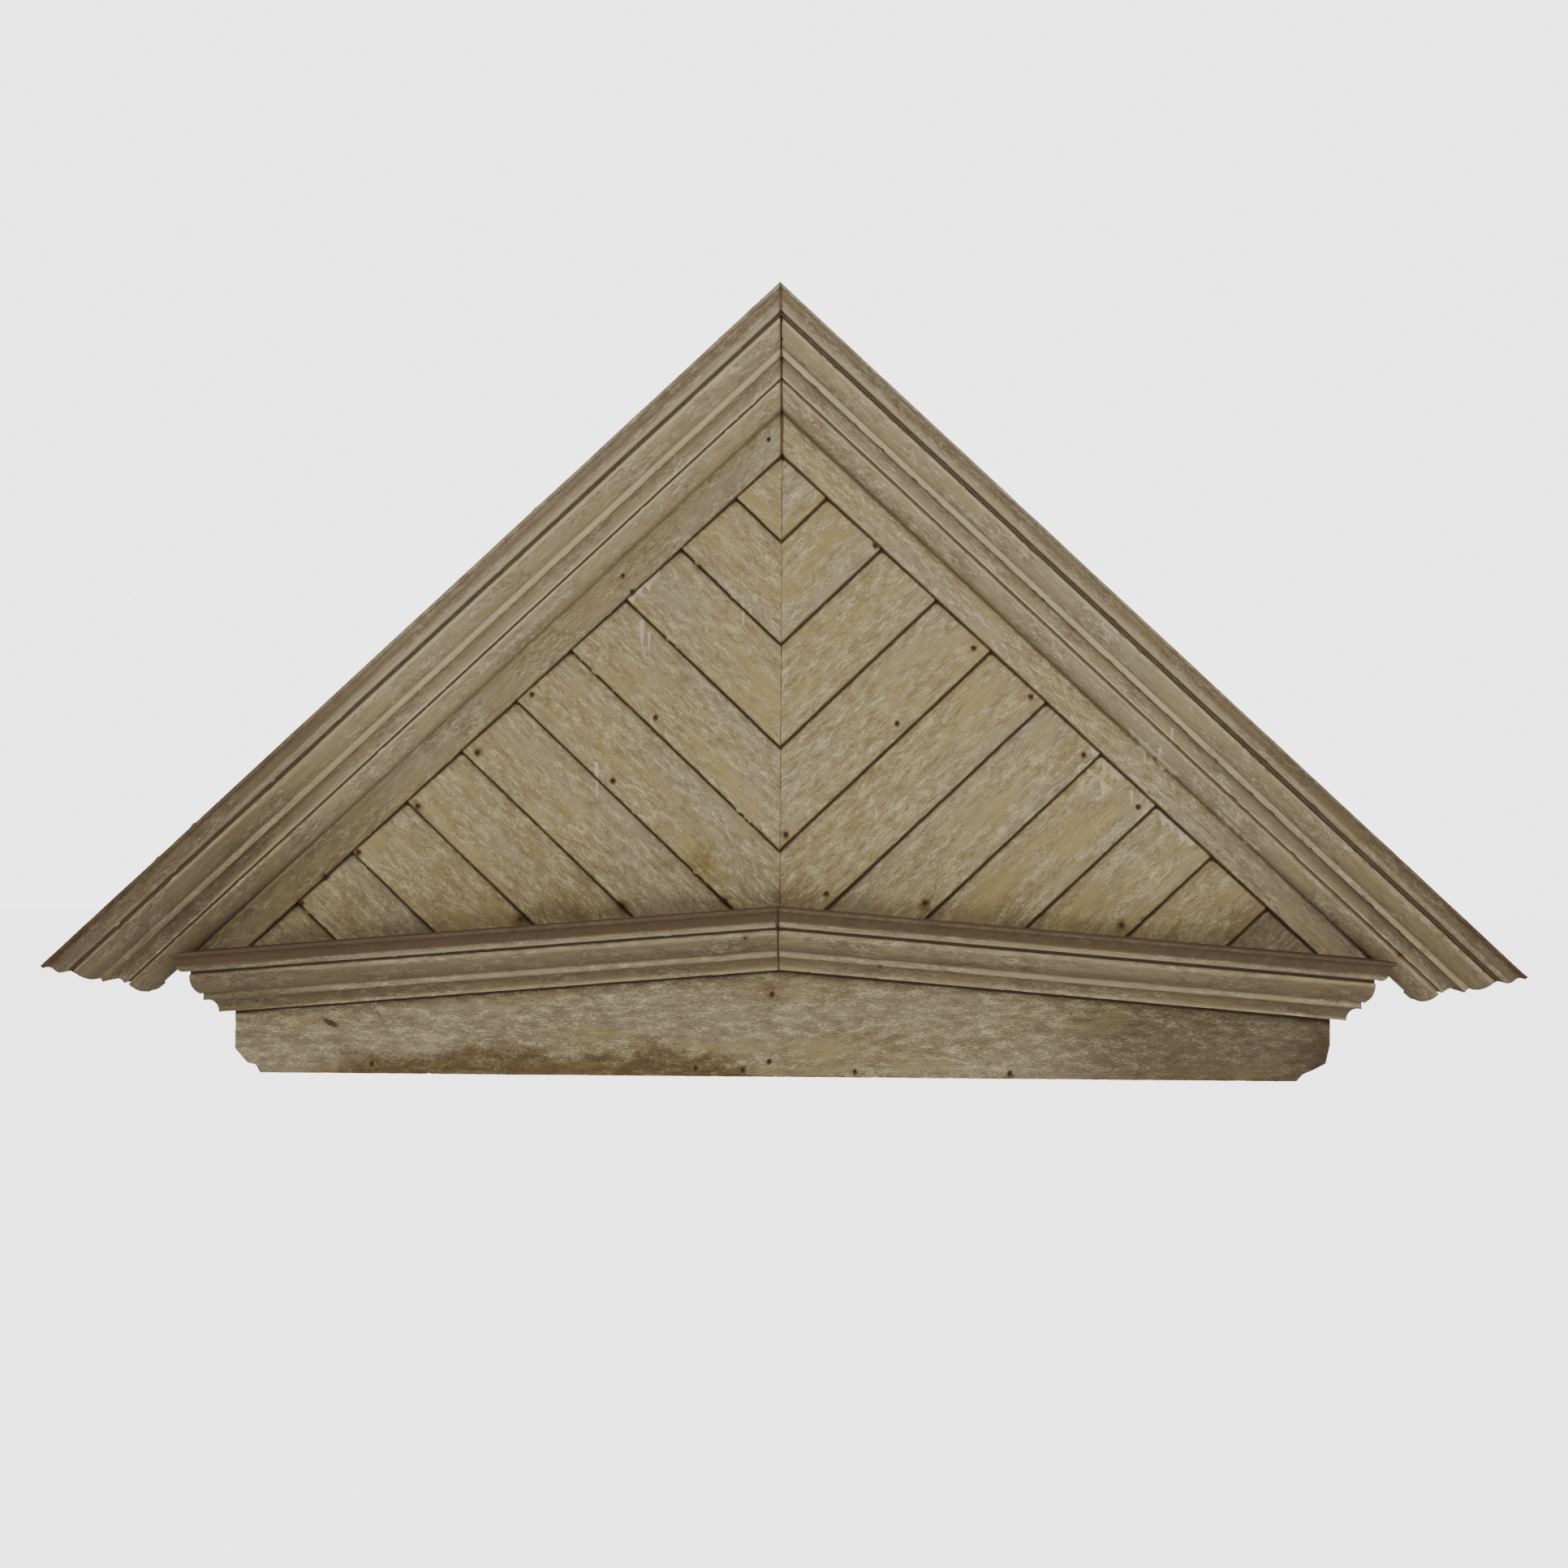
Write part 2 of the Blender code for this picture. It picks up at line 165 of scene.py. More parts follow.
# ---- geometry trees
def run_between_cuts():
    """Sweeps a section along a straight run. Each point of the section starts and stops at the saw cuts."""
    tree, given, result = new_tree(
        "run between cuts", "GeometryNodeTree",
        [("Section", "Geometry"), ("Stations", "Int"), ("Origin", "Vector"), ("Along", "Vector"),
         ("Across", "Vector"), ("Up", "Vector"), ("Start Point", "Vector"), ("Start Normal", "Vector"),
         ("End Point", "Vector"), ("End Normal", "Vector"), ("Other End Point", "Vector"),
         ("Other End Normal", "Vector"), ("Ragged Ends", "Float"), ("Grain Offset", "Vector"),
         ("Grain Square To Run", "Float")],
        [("Run", "Geometry")])
    line = add(tree, "GeometryNodeCurvePrimitiveLine", {"Start": (0, 0, 0), "End": (0, 0, 1)})
    path = add(tree, "GeometryNodeResampleCurve", {"Curve": line.outputs[0], "Count": given["Stations"]})
    profile = add(tree, "GeometryNodeMeshToCurve", {"Mesh": given["Section"]})
    swept = add(tree, "GeometryNodeCurveToMesh",
                {"Curve": path.outputs[0], "Profile Curve": profile.outputs[0], "Fill Caps": True})
    place = add(tree, "ShaderNodeSeparateXYZ", {0: add(tree, "GeometryNodeInputPosition").outputs[0]}).outputs
    in_section = vector(tree, "ADD", vector(tree, "SCALE", given["Across"], named(tree, "across")),
                        vector(tree, "SCALE", given["Up"], named(tree, "up")))
    base = vector(tree, "ADD", given["Origin"], in_section)

    def reach(point, normal):
        away = vector(tree, "DOT_PRODUCT", vector(tree, "SUBTRACT", given[point], base), given[normal])
        return math(tree, "DIVIDE", away, vector(tree, "DOT_PRODUCT", given["Along"], given[normal]))

    def ragged(shift):
        spot = add(tree, "ShaderNodeCombineXYZ", {"X": named(tree, "girth"), "Y": shift}).outputs[0]
        noise = add(tree, "ShaderNodeTexNoise", {"Vector": vector(tree, "ADD", spot, given["Grain Offset"]),
                                                 "Scale": 130.0, "Detail": 3.0, "Roughness": 0.65})
        return times(tree, noise.outputs[0], named(tree, "shown"), given["Ragged Ends"])

    start = plus(tree, reach("Start Point", "Start Normal"), named(tree, "rise"), ragged(0.0))
    near, far = reach("Other End Point", "Other End Normal"), reach("End Point", "End Normal")
    short_of_far = minus(tree, math(tree, "MINIMUM", near, far), far)
    end = plus(tree, far, times(tree, short_of_far, named(tree, "stops")))
    end = minus(tree, end, ragged(9.0))
    travel = plus(tree, start, times(tree, place["Z"], minus(tree, end, start)))
    end_distance = math(tree, "MINIMUM", minus(tree, travel, start), minus(tree, end, travel))

    square = given["Grain Square To Run"]
    plain = minus(tree, 1.0, square)
    lengthwise, crosswise = (
        plus(tree, times(tree, one, plain), times(tree, other, square))
        for one, other in ((travel, named(tree, "girth")), (named(tree, "girth"), travel)))
    grain = add(tree, "ShaderNodeCombineXYZ", {"X": lengthwise, "Y": crosswise}).outputs[0]
    stored = store(tree, swept.outputs[0], "grain", vector(tree, "ADD", grain, given["Grain Offset"]), "FLOAT_VECTOR")
    stored = store(tree, stored, "end_distance", end_distance)
    moved = vector(tree, "ADD", base, vector(tree, "SCALE", given["Along"], travel))
    placed = add(tree, "GeometryNodeSetPosition", {"Geometry": stored, "Position": moved})
    tree.links.new(placed.outputs[0], result["Run"])
    return tree


def weathering():
    """Warps the faces a little, rounds and chips the arrises and raises the grain."""
    tree, given, result = new_tree(
        "weathering", "GeometryNodeTree",
        [("Geometry", "Geometry"), ("Material", "Material"), ("Seed", "Float"), ("Warp", "Float"),
         ("Arris Wear", "Float"), ("Chip Depth", "Float"), ("Chip Share", "Float"), ("Grain Relief", "Float")],
        [("Geometry", "Geometry")])
    grain, shown = named(tree, "grain", "FLOAT_VECTOR"), named(tree, "shown")

    def noise(stretch, detail, rough=0.5, shift=0.0):
        node = add(tree, "ShaderNodeTexNoise",
                   {"Vector": vector(tree, "MULTIPLY", grain, stretch), "W": plus(tree, given["Seed"], shift),
                    "Scale": 1.0, "Detail": detail, "Roughness": rough}, noise_dimensions="4D")
        return node.outputs[0]

    at_end = ramp(tree, named(tree, "end_distance"), 0.0, 0.0045, 1.0, 0.0)
    worn = math(tree, "MAXIMUM", named(tree, "wear"), times(tree, at_end, 0.6))
    warp = times(tree, minus(tree, noise((7, 9, 9), 2.0), 0.5), given["Warp"])
    ridges = times(tree, minus(tree, noise((11, 210, 210), 3.0, 0.6, 3.0), 0.5),
                  given["Grain Relief"])
    rounding = times(tree, worn, noise((24, 60, 60), 2.0, 0.5, 7.0), given["Arris Wear"])
    share = given["Chip Share"]
    bite = ramp(tree, noise((55, 90, 90), 3.0, 0.55, 11.0), share, plus(tree, share, 0.09))
    chips = times(tree, worn, bite, given["Chip Depth"])
    push = minus(tree, plus(tree, warp, ridges), plus(tree, rounding, chips))
    normal = add(tree, "GeometryNodeInputNormal").outputs[0]
    offset = vector(tree, "SCALE", normal, times(tree, push, shown))
    marked = store(tree, given["Geometry"], "wear", worn)
    moved = vector(tree, "ADD", add(tree, "GeometryNodeInputPosition").outputs[0], offset)
    before_wall = vector(tree, "MINIMUM", moved, (9, 0, 9))
    placed = add(tree, "GeometryNodeSetPosition", {"Geometry": marked, "Position": before_wall})
    finish_geometry(tree, placed.outputs[0], given["Material"], result["Geometry"])
    return tree


def nail_heads():
    """A small domed head on each point, square to the face and of a size that varies a little."""
    tree, given, result = new_tree(
        "nail heads", "GeometryNodeTree",
        [("Points", "Geometry"), ("Material", "Material"), ("Head Radius", "Float"), ("Seed", "Int")],
        [("Nails", "Geometry")])
    head = add(tree, "GeometryNodeMeshUVSphere", {"Segments": 12, "Rings": 7, "Radius": given["Head Radius"]})
    flat = add(tree, "GeometryNodeTransform", {"Geometry": head.outputs["Mesh"], "Scale": (1.0, 1.0, 0.3)})
    facing = add(tree, "FunctionNodeAlignRotationToVector", {"Vector": named(tree, "facing", "FLOAT_VECTOR")}, axis="Z")
    size = add(tree, "FunctionNodeRandomValue", {"Seed": given["Seed"]}, data_type="FLOAT")
    smallest, largest = [socket for socket in size.inputs if socket.enabled][:2]
    smallest.default_value, largest.default_value = 0.8, 1.2
    spread = next(socket for socket in size.outputs if socket.enabled)
    on = add(tree, "GeometryNodeInstanceOnPoints",
             {"Points": given["Points"], "Instance": flat.outputs[0], "Rotation": facing.outputs[0]})
    tree.links.new(spread, on.inputs["Scale"])
    finish_geometry(tree, on.outputs[0], given["Material"], result["Nails"])
    return tree


def fit_tree(piece, tree, **values):
    """Adds the tree to the piece and sets each input by its socket."""
    modifier = piece.modifiers.new(tree.name, "NODES")
    modifier.node_group = tree
    given = {name.replace("_", " "): value for name, value in values.items()}
    for item in tree.interface.items_tree:
        if item.in_out == "INPUT" and item.name in given:
            value = given.pop(item.name)
            modifier[item.identifier] = tuple(value) if isinstance(value, Vector) else value
    assert not given, given


# ---- plain meshes
def put(name, data):
    item = bpy.data.objects.new(name, data)
    bpy.context.scene.collection.objects.link(item)
    return item


def strip_across(body, loop, share):
    """Fills a loop by triangles between its two sides, from the lowest share to the highest."""
    def middle_of(limit):
        side = [v for v in loop if abs(share[v] - limit) < 0.003]
        depth = sum(v.co.y for v in side) / len(side)
        return min(side, key=lambda v: abs(v.co.y - depth))

    first, last = middle_of(min(share.values())), middle_of(max(share.values()))
    turn = loop.index(first)
    loop = loop[turn:] + loop[:turn]
    split = loop.index(last)
    one, two = loop[:split + 1], [first] + loop[:split - 1:-1]
    i = j = 0
    while i < len(one) - 1 or j < len(two) - 1:
        if j == len(two) - 1 or (i < len(one) - 1 and share[one[i + 1]] <= share[two[j + 1]]):
            i += 1
            ring = (one[i - 1], one[i], two[j])
        else:
            j += 1
            ring = (two[j - 1], two[j], one[i])
        if len(set(ring)) == 3:
            body.faces.new(ring)


def close_ends(mesh, way):
    """Puts a strip of triangles across each end of a board whose end isn't in one plane, from side to side."""
    body = bmesh.new()
    body.from_mesh(mesh)
    for end in [face for face in body.faces if len(face.verts) > WALL_CORNERS]:
        loop = list(end.verts)
        body.faces.remove(end)
        strip_across(body, loop, {v: v.co.dot(way) for v in loop})
    face_outwards(body, mesh)


def face_outwards(body, mesh):
    bmesh.ops.recalc_face_normals(body, faces=body.faces)
    body.to_mesh(mesh)
    body.free()


def plain_mesh(piece):
    """The evaluated piece as a plain mesh at the origin, with its faces turned outwards."""
    state = bpy.context.evaluated_depsgraph_get()
    mesh = bpy.data.meshes.new_from_object(piece.evaluated_get(state))
    name = piece.name
    bpy.data.objects.remove(piece, do_unlink=True)
    mesh.name = name
    solid = put(name, mesh)
    body = bmesh.new()
    body.from_mesh(mesh)
    face_outwards(body, mesh)
    mesh.shade_smooth()
    mesh.set_sharp_from_angle(angle=SHARP)
    return solid


# ---- materials
def noise_on(tree, where, stretch, detail, rough=0.5, distortion=0.0):
    """Noise whose waves per metre along, across and through are the stretch."""
    return add(tree, "ShaderNodeTexNoise",
               {"Vector": vector(tree, "MULTIPLY", where, stretch), "Scale": 1.0, "Detail": detail,
                "Roughness": rough, "Distortion": distortion}).outputs[0]


def blend(tree, mask, low, high, way="MIX"):
    node = add(tree, "ShaderNodeMix", data_type="RGBA", blend_type=way)
    for socket, value in zip((node.inputs["Factor"], node.inputs[6], node.inputs[7]), (mask, low, high)):
        tree.links.new(value, socket)
    return node.outputs[2]


def flaked_paint():
    """Old paint along the grain: smooth patches between fields of small cream flakes and dark checks."""
    tree, given, result = new_tree(
        "flaked paint", "ShaderNodeTree",
        [("Smooth", "Color"), ("Bare", "Color"), ("Flake", "Color"), ("Check", "Color"), ("Tint", "Color"),
         ("Flake Size", "Vector"), ("Flake Share", "Float", 0.5), ("Patch Share", "Float", 0.5),
         ("Cross Checks", "Float", 0.0), ("Grain Bend", "Float", 0.01)],
        [("Color", "Color"), ("Roughness", "Float"), ("Height", "Float")])
    straight = add(tree, "ShaderNodeAttribute", attribute_name="grain").outputs["Vector"]
    bend = times(tree, noise_on(tree, straight, (5, 8, 8), 2.0), given["Grain Bend"])
    grain = vector(tree, "ADD", straight, add(tree, "ShaderNodeCombineXYZ", {"Y": bend}).outputs[0])

    # Where the paint has broken up
    cloud = noise_on(tree, grain, (8, 26, 26), 4.0, 0.6)
    share = plus(tree, cloud, minus(tree, given["Patch Share"], 0.5))
    patch = ramp(tree, share, 0.40, 0.58)
    shown = plus(tree, times(tree, patch, 0.8), 0.2)

    # Flakes, pits between them and fine checks
    flakes = noise_on(tree, grain, given["Flake Size"], 4.0, 0.68, 0.7)
    cluster = times(tree, noise_on(tree, grain, (34, 95, 95), 3.0, 0.6), 0.62)
    more = minus(tree, times(tree, given["Flake Share"], 0.5), 0.56)
    level = plus(tree, flakes, cluster, more)
    flake = times(tree, ramp(tree, level, 0.49, 0.66), shown)
    pit = times(tree, ramp(tree, level, 0.47, 0.33), shown)
    strands = noise_on(tree, grain, (14, 360, 360), 3.0, 0.6)
    from_middle = math(tree, "ABSOLUTE", minus(tree, strands, 0.47))
    check = ramp(tree, from_middle, 0.0, 0.018, 1.0, 0.0)
    across = times(tree, ramp(tree, noise_on(tree, grain, (420, 55, 55), 2.0, 0.5, 0.6), 0.60, 0.68),
                  ramp(tree, cloud, 0.5, 0.6), given["Cross Checks"])
    dark = math(tree, "MAXIMUM", times(tree, pit, 0.55), times(tree, check, 0.28), across)

    drift = ramp(tree, noise_on(tree, grain, (2.2, 13, 13), 3.0), 0.42, 0.62)
    colour = blend(tree, times(tree, patch, 0.7), given["Smooth"], given["Bare"])
    for mask, paint in ((times(tree, drift, 0.75), "Tint"),
                        (times(tree, ramp(tree, strands, 0.56, 0.40), 0.16), "Check"),
                        (dark, "Check"), (times(tree, flake, 0.85), "Flake")):
        colour = blend(tree, mask, colour, given[paint])
    height = plus(tree, times(tree, flake, 0.5),
                  times(tree, minus(tree, 1.0, dark), 0.6), times(tree, strands, 0.5))
    tree.links.new(colour, result["Color"])
    tree.links.new(minus(tree, 0.9, times(tree, flake, 0.14)), result["Roughness"])
    tree.links.new(height, result["Height"])
    return tree


def marks_and_painted_light():
    """Rubbed arrises and painted highlights on the bands that face the light, grime and painted shade in the grooves
    and under the lips, painted shade and darkening from the tone, damp stains and lime, broken up by noise.
    """
    tree, given, result = new_tree(
        "marks and painted light", "ShaderNodeTree",
        [("Color", "Color"), ("Worn", "Color"), ("Dirt", "Color"), ("Stain", "Color"), ("Lime", "Color"),
         ("Wear Strength", "Float", 1.0), ("Dirt Strength", "Float", 1.0), ("Shade", "Color", (0.52, 0.49, 0.47, 1))],
        [("Color", "Color"), ("Roughness Change", "Float")])
    place = add(tree, "ShaderNodeTexCoord").outputs["Object"]
    grain = add(tree, "ShaderNodeAttribute", attribute_name="grain").outputs["Vector"]
    broken = noise_on(tree, place, (60, 60, 60), 5.0, 0.7)
    streaky = noise_on(tree, grain, (30, 160, 160), 4.0, 0.65)
    wear, soil_and_shade, stain, lime, tone = (add(tree, "ShaderNodeAttribute", attribute_name=name).outputs["Fac"]
                                     for name in ("wear", "soil_and_shade", "stain", "lime", "tone"))

    worn = ramp(tree, plus(tree, times(tree, wear, given["Wear Strength"]), streaky), 1.0, 1.35)
    # Dark mix: grime, rust by the nails and dark joints, and also painted shade in the grooves and painted shadow under
    # the lips, the clapboards' butts and the raking boards
    grime_and_shade = ramp(tree, plus(tree, times(tree, soil_and_shade, given["Dirt Strength"]), times(tree, broken, 0.6)), 0.55, 1.25)
    stain = ramp(tree, plus(tree, stain, broken), 0.72, 1.35)
    lime = ramp(tree, plus(tree, lime, times(tree, broken, 0.5)), 0.62, 0.95)
    # Painted highlight: the bands of the mouldings where light falls, from positive tone
    pale = ramp(tree, plus(tree, tone, times(tree, streaky, 0.9)), 0.72, 1.45)
    # Painted shade from negative tone: the hollows and undersides of the mouldings and a corner of the field, and also
    # the darkening at the eaves, the cornice's grime and the damp
    shade = ramp(tree, minus(tree, times(tree, streaky, 0.4), tone), 0.10, 1.15)

    worn_and_highlit = times(tree, math(tree, "MAXIMUM", worn, pale), 0.85)
    colour = blend(tree, worn_and_highlit, given["Color"], given["Worn"])
    colour = blend(tree, stain, colour, given["Stain"], "MULTIPLY")
    colour = blend(tree, shade, colour, given["Shade"], "MULTIPLY")
    colour = blend(tree, times(tree, lime, 0.7), colour, given["Lime"])
    colour = blend(tree, times(tree, grime_and_shade, 0.9), colour, given["Dirt"])
    tree.links.new(colour, result["Color"])
    tree.links.new(times(tree, math(tree, "MAXIMUM", worn, grime_and_shade), 0.08), result["Roughness Change"])
    return tree


def as_seen(red, green, blue):
    """Base colour of a paint that looks so, in 0 to 255, in the studio's light."""
    dimming, green_curve, blue_curve = 0.85, 1.17, 1.32
    light = [((c / 255 + 0.055) / 1.055) ** 2.4 for c in (red, green, blue)]
    base = light[0] * dimming
    return base, base * (light[1] / light[0]) ** green_curve, base * (light[2] / light[0]) ** blue_curve, 1.0


def new_material(name):
    material = bpy.data.materials.new(name)
    material.use_nodes = True
    return material, material.node_tree, material.node_tree.nodes["Principled BSDF"]


def dress(tree, shader, colour, roughness, height, relief, gloss):
    """Links the colour and roughness, and raises the surface by the height in a fine bump."""
    tree.links.new(colour, shader.inputs["Base Color"])
    tree.links.new(roughness, shader.inputs["Roughness"])
    bump = add(tree, "ShaderNodeBump", {"Height": height, "Strength": 0.6, "Distance": relief})
    tree.links.new(bump.outputs[0], shader.inputs["Normal"])
    shader.inputs["Specular IOR Level"].default_value = gloss


paint, marks = flaked_paint(), marks_and_painted_light()
DAMP, EDGE_BROWN, LIME = (0.58, 0.50, 0.37), (0.64, 0.51, 0.39), (190, 180, 156)


def paint_material(name, glaze, relief, **values):
    """A weathered paint. Each colour and setting goes to the group that has an input of its name."""
    material, tree, shader = new_material(name)
    coat = add(tree, "ShaderNodeGroup", node_tree=paint)
    aged = add(tree, "ShaderNodeGroup", node_tree=marks)
    for label, value in {**values, "Lime": LIME}.items():
        label = label.replace("_", " ")
        socket = (coat if label in coat.inputs else aged).inputs[label]
        socket.default_value = as_seen(*value) if socket.type == "RGBA" else value
    aged.inputs["Stain"].default_value = (*glaze, 1)
    tree.links.new(coat.outputs["Color"], aged.inputs["Color"])
    roughness = plus(tree, coat.outputs["Roughness"], aged.outputs["Roughness Change"], clamp=True)
    dress(tree, shader, aged.outputs["Color"], roughness, coat.outputs["Height"], relief, 0.25)
    return material


def rusted_iron():
    material, tree, shader = new_material("rusted iron")
    place = add(tree, "ShaderNodeTexCoord").outputs["Object"]
    pitted = noise_on(tree, place, (700, 700, 700), 4.0, 0.7)
    colour = add(tree, "ShaderNodeMix", {"Factor": ramp(tree, pitted, 0.4, 0.62)}, data_type="RGBA")
    colour.inputs[6].default_value, colour.inputs[7].default_value = as_seen(31, 25, 20), as_seen(56, 41, 29)
    dress(tree, shader, colour.outputs[2], ramp(tree, pitted, 0.3, 0.7, 0.75, 0.95), pitted, 0.0006, 0.3)
    return material


# In each paint the light Worn colour also paints the highlights, and the dark Dirt colour also paints shade and shadows
FINISH = {
    "clapboard": paint_material(
        "flaked board paint", DAMP, 0.0009, Smooth=(152, 138, 104), Bare=(146, 132, 107), Flake=(190, 180, 149),
        Check=(98, 83, 58), Tint=(147, 136, 117), Worn=(120, 103, 78), Dirt=(66, 52, 37), Flake_Size=(125, 700, 700),
        Flake_Share=0.5, Patch_Share=0.56, Grain_Bend=0.008, Wear_Strength=0.45, Dirt_Strength=1.3),
    "raking_board": paint_material(
        "flaked raking board paint", DAMP, 0.0008, Smooth=(153, 140, 111), Bare=(148, 135, 110),
        Flake=(192, 182, 154), Check=(96, 81, 60), Tint=(150, 138, 121), Worn=(112, 97, 72), Dirt=(76, 61, 44),
        Flake_Size=(115, 560, 560), Flake_Share=0.48, Patch_Share=0.55, Cross_Checks=0.1, Grain_Bend=0.005,
        Wear_Strength=0.45, Dirt_Strength=1.1),
    "base_board": paint_material(
        "flaked base board paint", DAMP, 0.001, Smooth=(138, 125, 97), Bare=(124, 112, 95), Flake=(182, 172, 144),
        Check=(90, 76, 57), Tint=(136, 125, 109), Worn=(108, 89, 65), Dirt=(64, 51, 37), Flake_Size=(150, 720, 720),
        Flake_Share=0.52, Patch_Share=0.58, Grain_Bend=0.012, Wear_Strength=0.6, Dirt_Strength=1.2),
    "moulding": paint_material(
        "flaked moulding paint", EDGE_BROWN, 0.0008, Smooth=(146, 133, 108), Bare=(142, 129, 110),
        Flake=(184, 174, 149), Check=(96, 82, 63), Tint=(142, 131, 112), Worn=(176, 164, 137), Dirt=(104, 91, 72),
        Flake_Size=(115, 430, 430), Flake_Share=0.46, Patch_Share=0.5, Cross_Checks=0.6, Grain_Bend=0.004,
        Wear_Strength=0.6, Dirt_Strength=0.9),
    "crown": paint_material(
        "worn crown paint", EDGE_BROWN, 0.0008, Smooth=(142, 130, 106), Bare=(138, 126, 107), Flake=(174, 163, 139),
        Check=(98, 84, 66), Tint=(137, 125, 110), Worn=(172, 161, 138), Dirt=(82, 68, 54), Flake_Size=(115, 430, 430),
        Flake_Share=0.46, Patch_Share=0.52, Cross_Checks=0.5, Grain_Bend=0.004, Wear_Strength=0.6, Dirt_Strength=0.9)}


# ---- sections
def quarter(start, end, hollow, steps=7):
    """Points along a quarter of an ellipse, after its start."""
    across, down = end[0] - start[0], end[1] - start[1]
    points = []
    for step in range(1, steps + 1):
        turn = step / steps * pi / 2
        x, y = (sin(turn), 1 - cos(turn)) if hollow else (1 - cos(turn), sin(turn))
        points.append((start[0] + across * x, start[1] + down * y, ""))
    return points


def mark_corner(points, index, kinds):
    points[index] = (*points[index][:2], kinds)


class Stack:
    """Faces of the stacked mouldings: x out from the board, y up from the crown's top, and what the point is. The words
    pale, palest and face mark painted highlights where light falls on the bands, and shade and line mark painted shade
    in the hollows and under the lips.
    """

    def __init__(self, projection, low=False):
        quirk_height, quirk_depth = CORNICE_QUIRK if low else RAKE_QUIRK
        self.low = low
        self.projection, self.crown_height = projection, CROWN_HEIGHT + QUIRK_HEIGHT - quirk_height
        self.crown_foot = projection - CROWN_REACH
        self.quirk_back = self.crown_foot - quirk_depth
        self.ovolo_top = -(CROWN_FILLET + CROWN_HEIGHT + QUIRK_HEIGHT)
        self.nose = self.crown_foot - OVOLO_SET
        self.ovolo_foot = self.ovolo_top - OVOLO_HEIGHT
        self.ovolo_back = self.nose - self.fall(OVOLO_HEIGHT - OVOLO_LIP)
        self.fillet = self.ovolo_back - FILLET_SET
        self.cove_top = self.ovolo_foot - FILLET_HEIGHT
        self.cove_foot = self.cove_top - COVE_HEIGHT
        self.cove_back = self.fillet - COVE_SET - COVE_REACH
        self.bed_face = self.cove_back - BED_SET
        self.bed_foot = self.cove_foot - BED_QUIRK_HEIGHT - BED_HEIGHT

    def fall(self, down):
        return OVOLO_FALL * (1 - sqrt(max(0, 1 - (down / OVOLO_SPAN) ** 2)))

    def crown(self):
        seen_top, turn_reach, turn_height = 0.05, 0.48, 0.5
        top, foot = -CROWN_FILLET, -CROWN_FILLET - self.crown_height
        middle = (self.projection - CROWN_REACH * turn_reach, top - self.crown_height * turn_height)
        face = [(0.0, 0.0, "hidden"), (self.projection - seen_top, 0, ""), (self.projection, 0, "arris"),
                (self.projection, top, "edge")]
        face += quarter((self.projection, top), middle, True)
        # Painted shade in the crown's hollow, painted highlights on its bulge and foot, and grime with painted shade in
        # the quirk below
        mark_corner(face, -2, "shade")
        face += quarter(middle, (self.crown_foot, foot), False)
        mark_corner(face, -4, "palest")
        mark_corner(face, -1, "arris pale")
        return face + [(self.quirk_back, foot, "groove"), (self.quirk_back, self.ovolo_top + GAP, "groove"),
                       (0.0, self.ovolo_top + GAP, "hidden")]

    def ovolo(self):
        top, drop, steps = self.ovolo_top, OVOLO_HEIGHT - OVOLO_LIP, 12
        face = [(0.0, top, "hidden"), (self.quirk_back, top, "groove")]
        # Painted highlights on the ovolo's rounded lip
        face += [(self.nose - OVOLO_LIP * (1 - sin(turn)), top - OVOLO_LIP * (1 - cos(turn)),
                  "arris pale" if turn else "") for turn in (0, pi / 6, pi / 3, pi / 2)]
        face += [(self.nose - self.fall(drop * step / steps), top - OVOLO_LIP - drop * step / steps, "")
                 for step in range(1, steps + 1)]
        # On the lower cornice, painted shade and a painted dark line at the ovolo's foot
        if self.low:
            mark_corner(face, -2, "shade")
            mark_corner(face, -1, "line")
        under = self.cove_top + FILLET_CLEARANCE
        # The fillet's face is a painted highlight band, and a painted dark line of shade runs under it
        return face + [(self.fillet, self.ovolo_foot, "face"), (self.fillet, under, "arris face"),
                       (self.fillet - COVE_SET, under, "groove line"), (0.0, under, "hidden")]

    def cove(self):
        head = (self.fillet - COVE_SET, self.cove_top)
        # A painted dark line of shade at the cove's head under the fillet, and a painted highlight on its foot
        face = [(0.0, self.cove_top, "hidden"), (*head, "line")]
        face += quarter(head, (self.cove_back, self.cove_foot), True, 12)
        mark_corner(face, -1, "arris pale")
        return face + [(0.0, self.cove_foot, "hidden")]

    def bed(self):
        top = self.cove_foot - GAP
        lip, back = top - BED_QUIRK_HEIGHT, self.bed_face - BED_QUIRK_DEPTH
        # Grime and painted shade in the bed's quirk, and a painted highlight on its lip
        face = [(0.0, top, "hidden"), (back, top, "groove"), (back, lip, ""), (self.bed_face, lip, "arris pale")]
        face += quarter((self.bed_face, lip), (self.bed_face - BED_FALL, self.bed_foot), False, 12)
        return face + [(0.0, self.bed_foot, "hidden")]


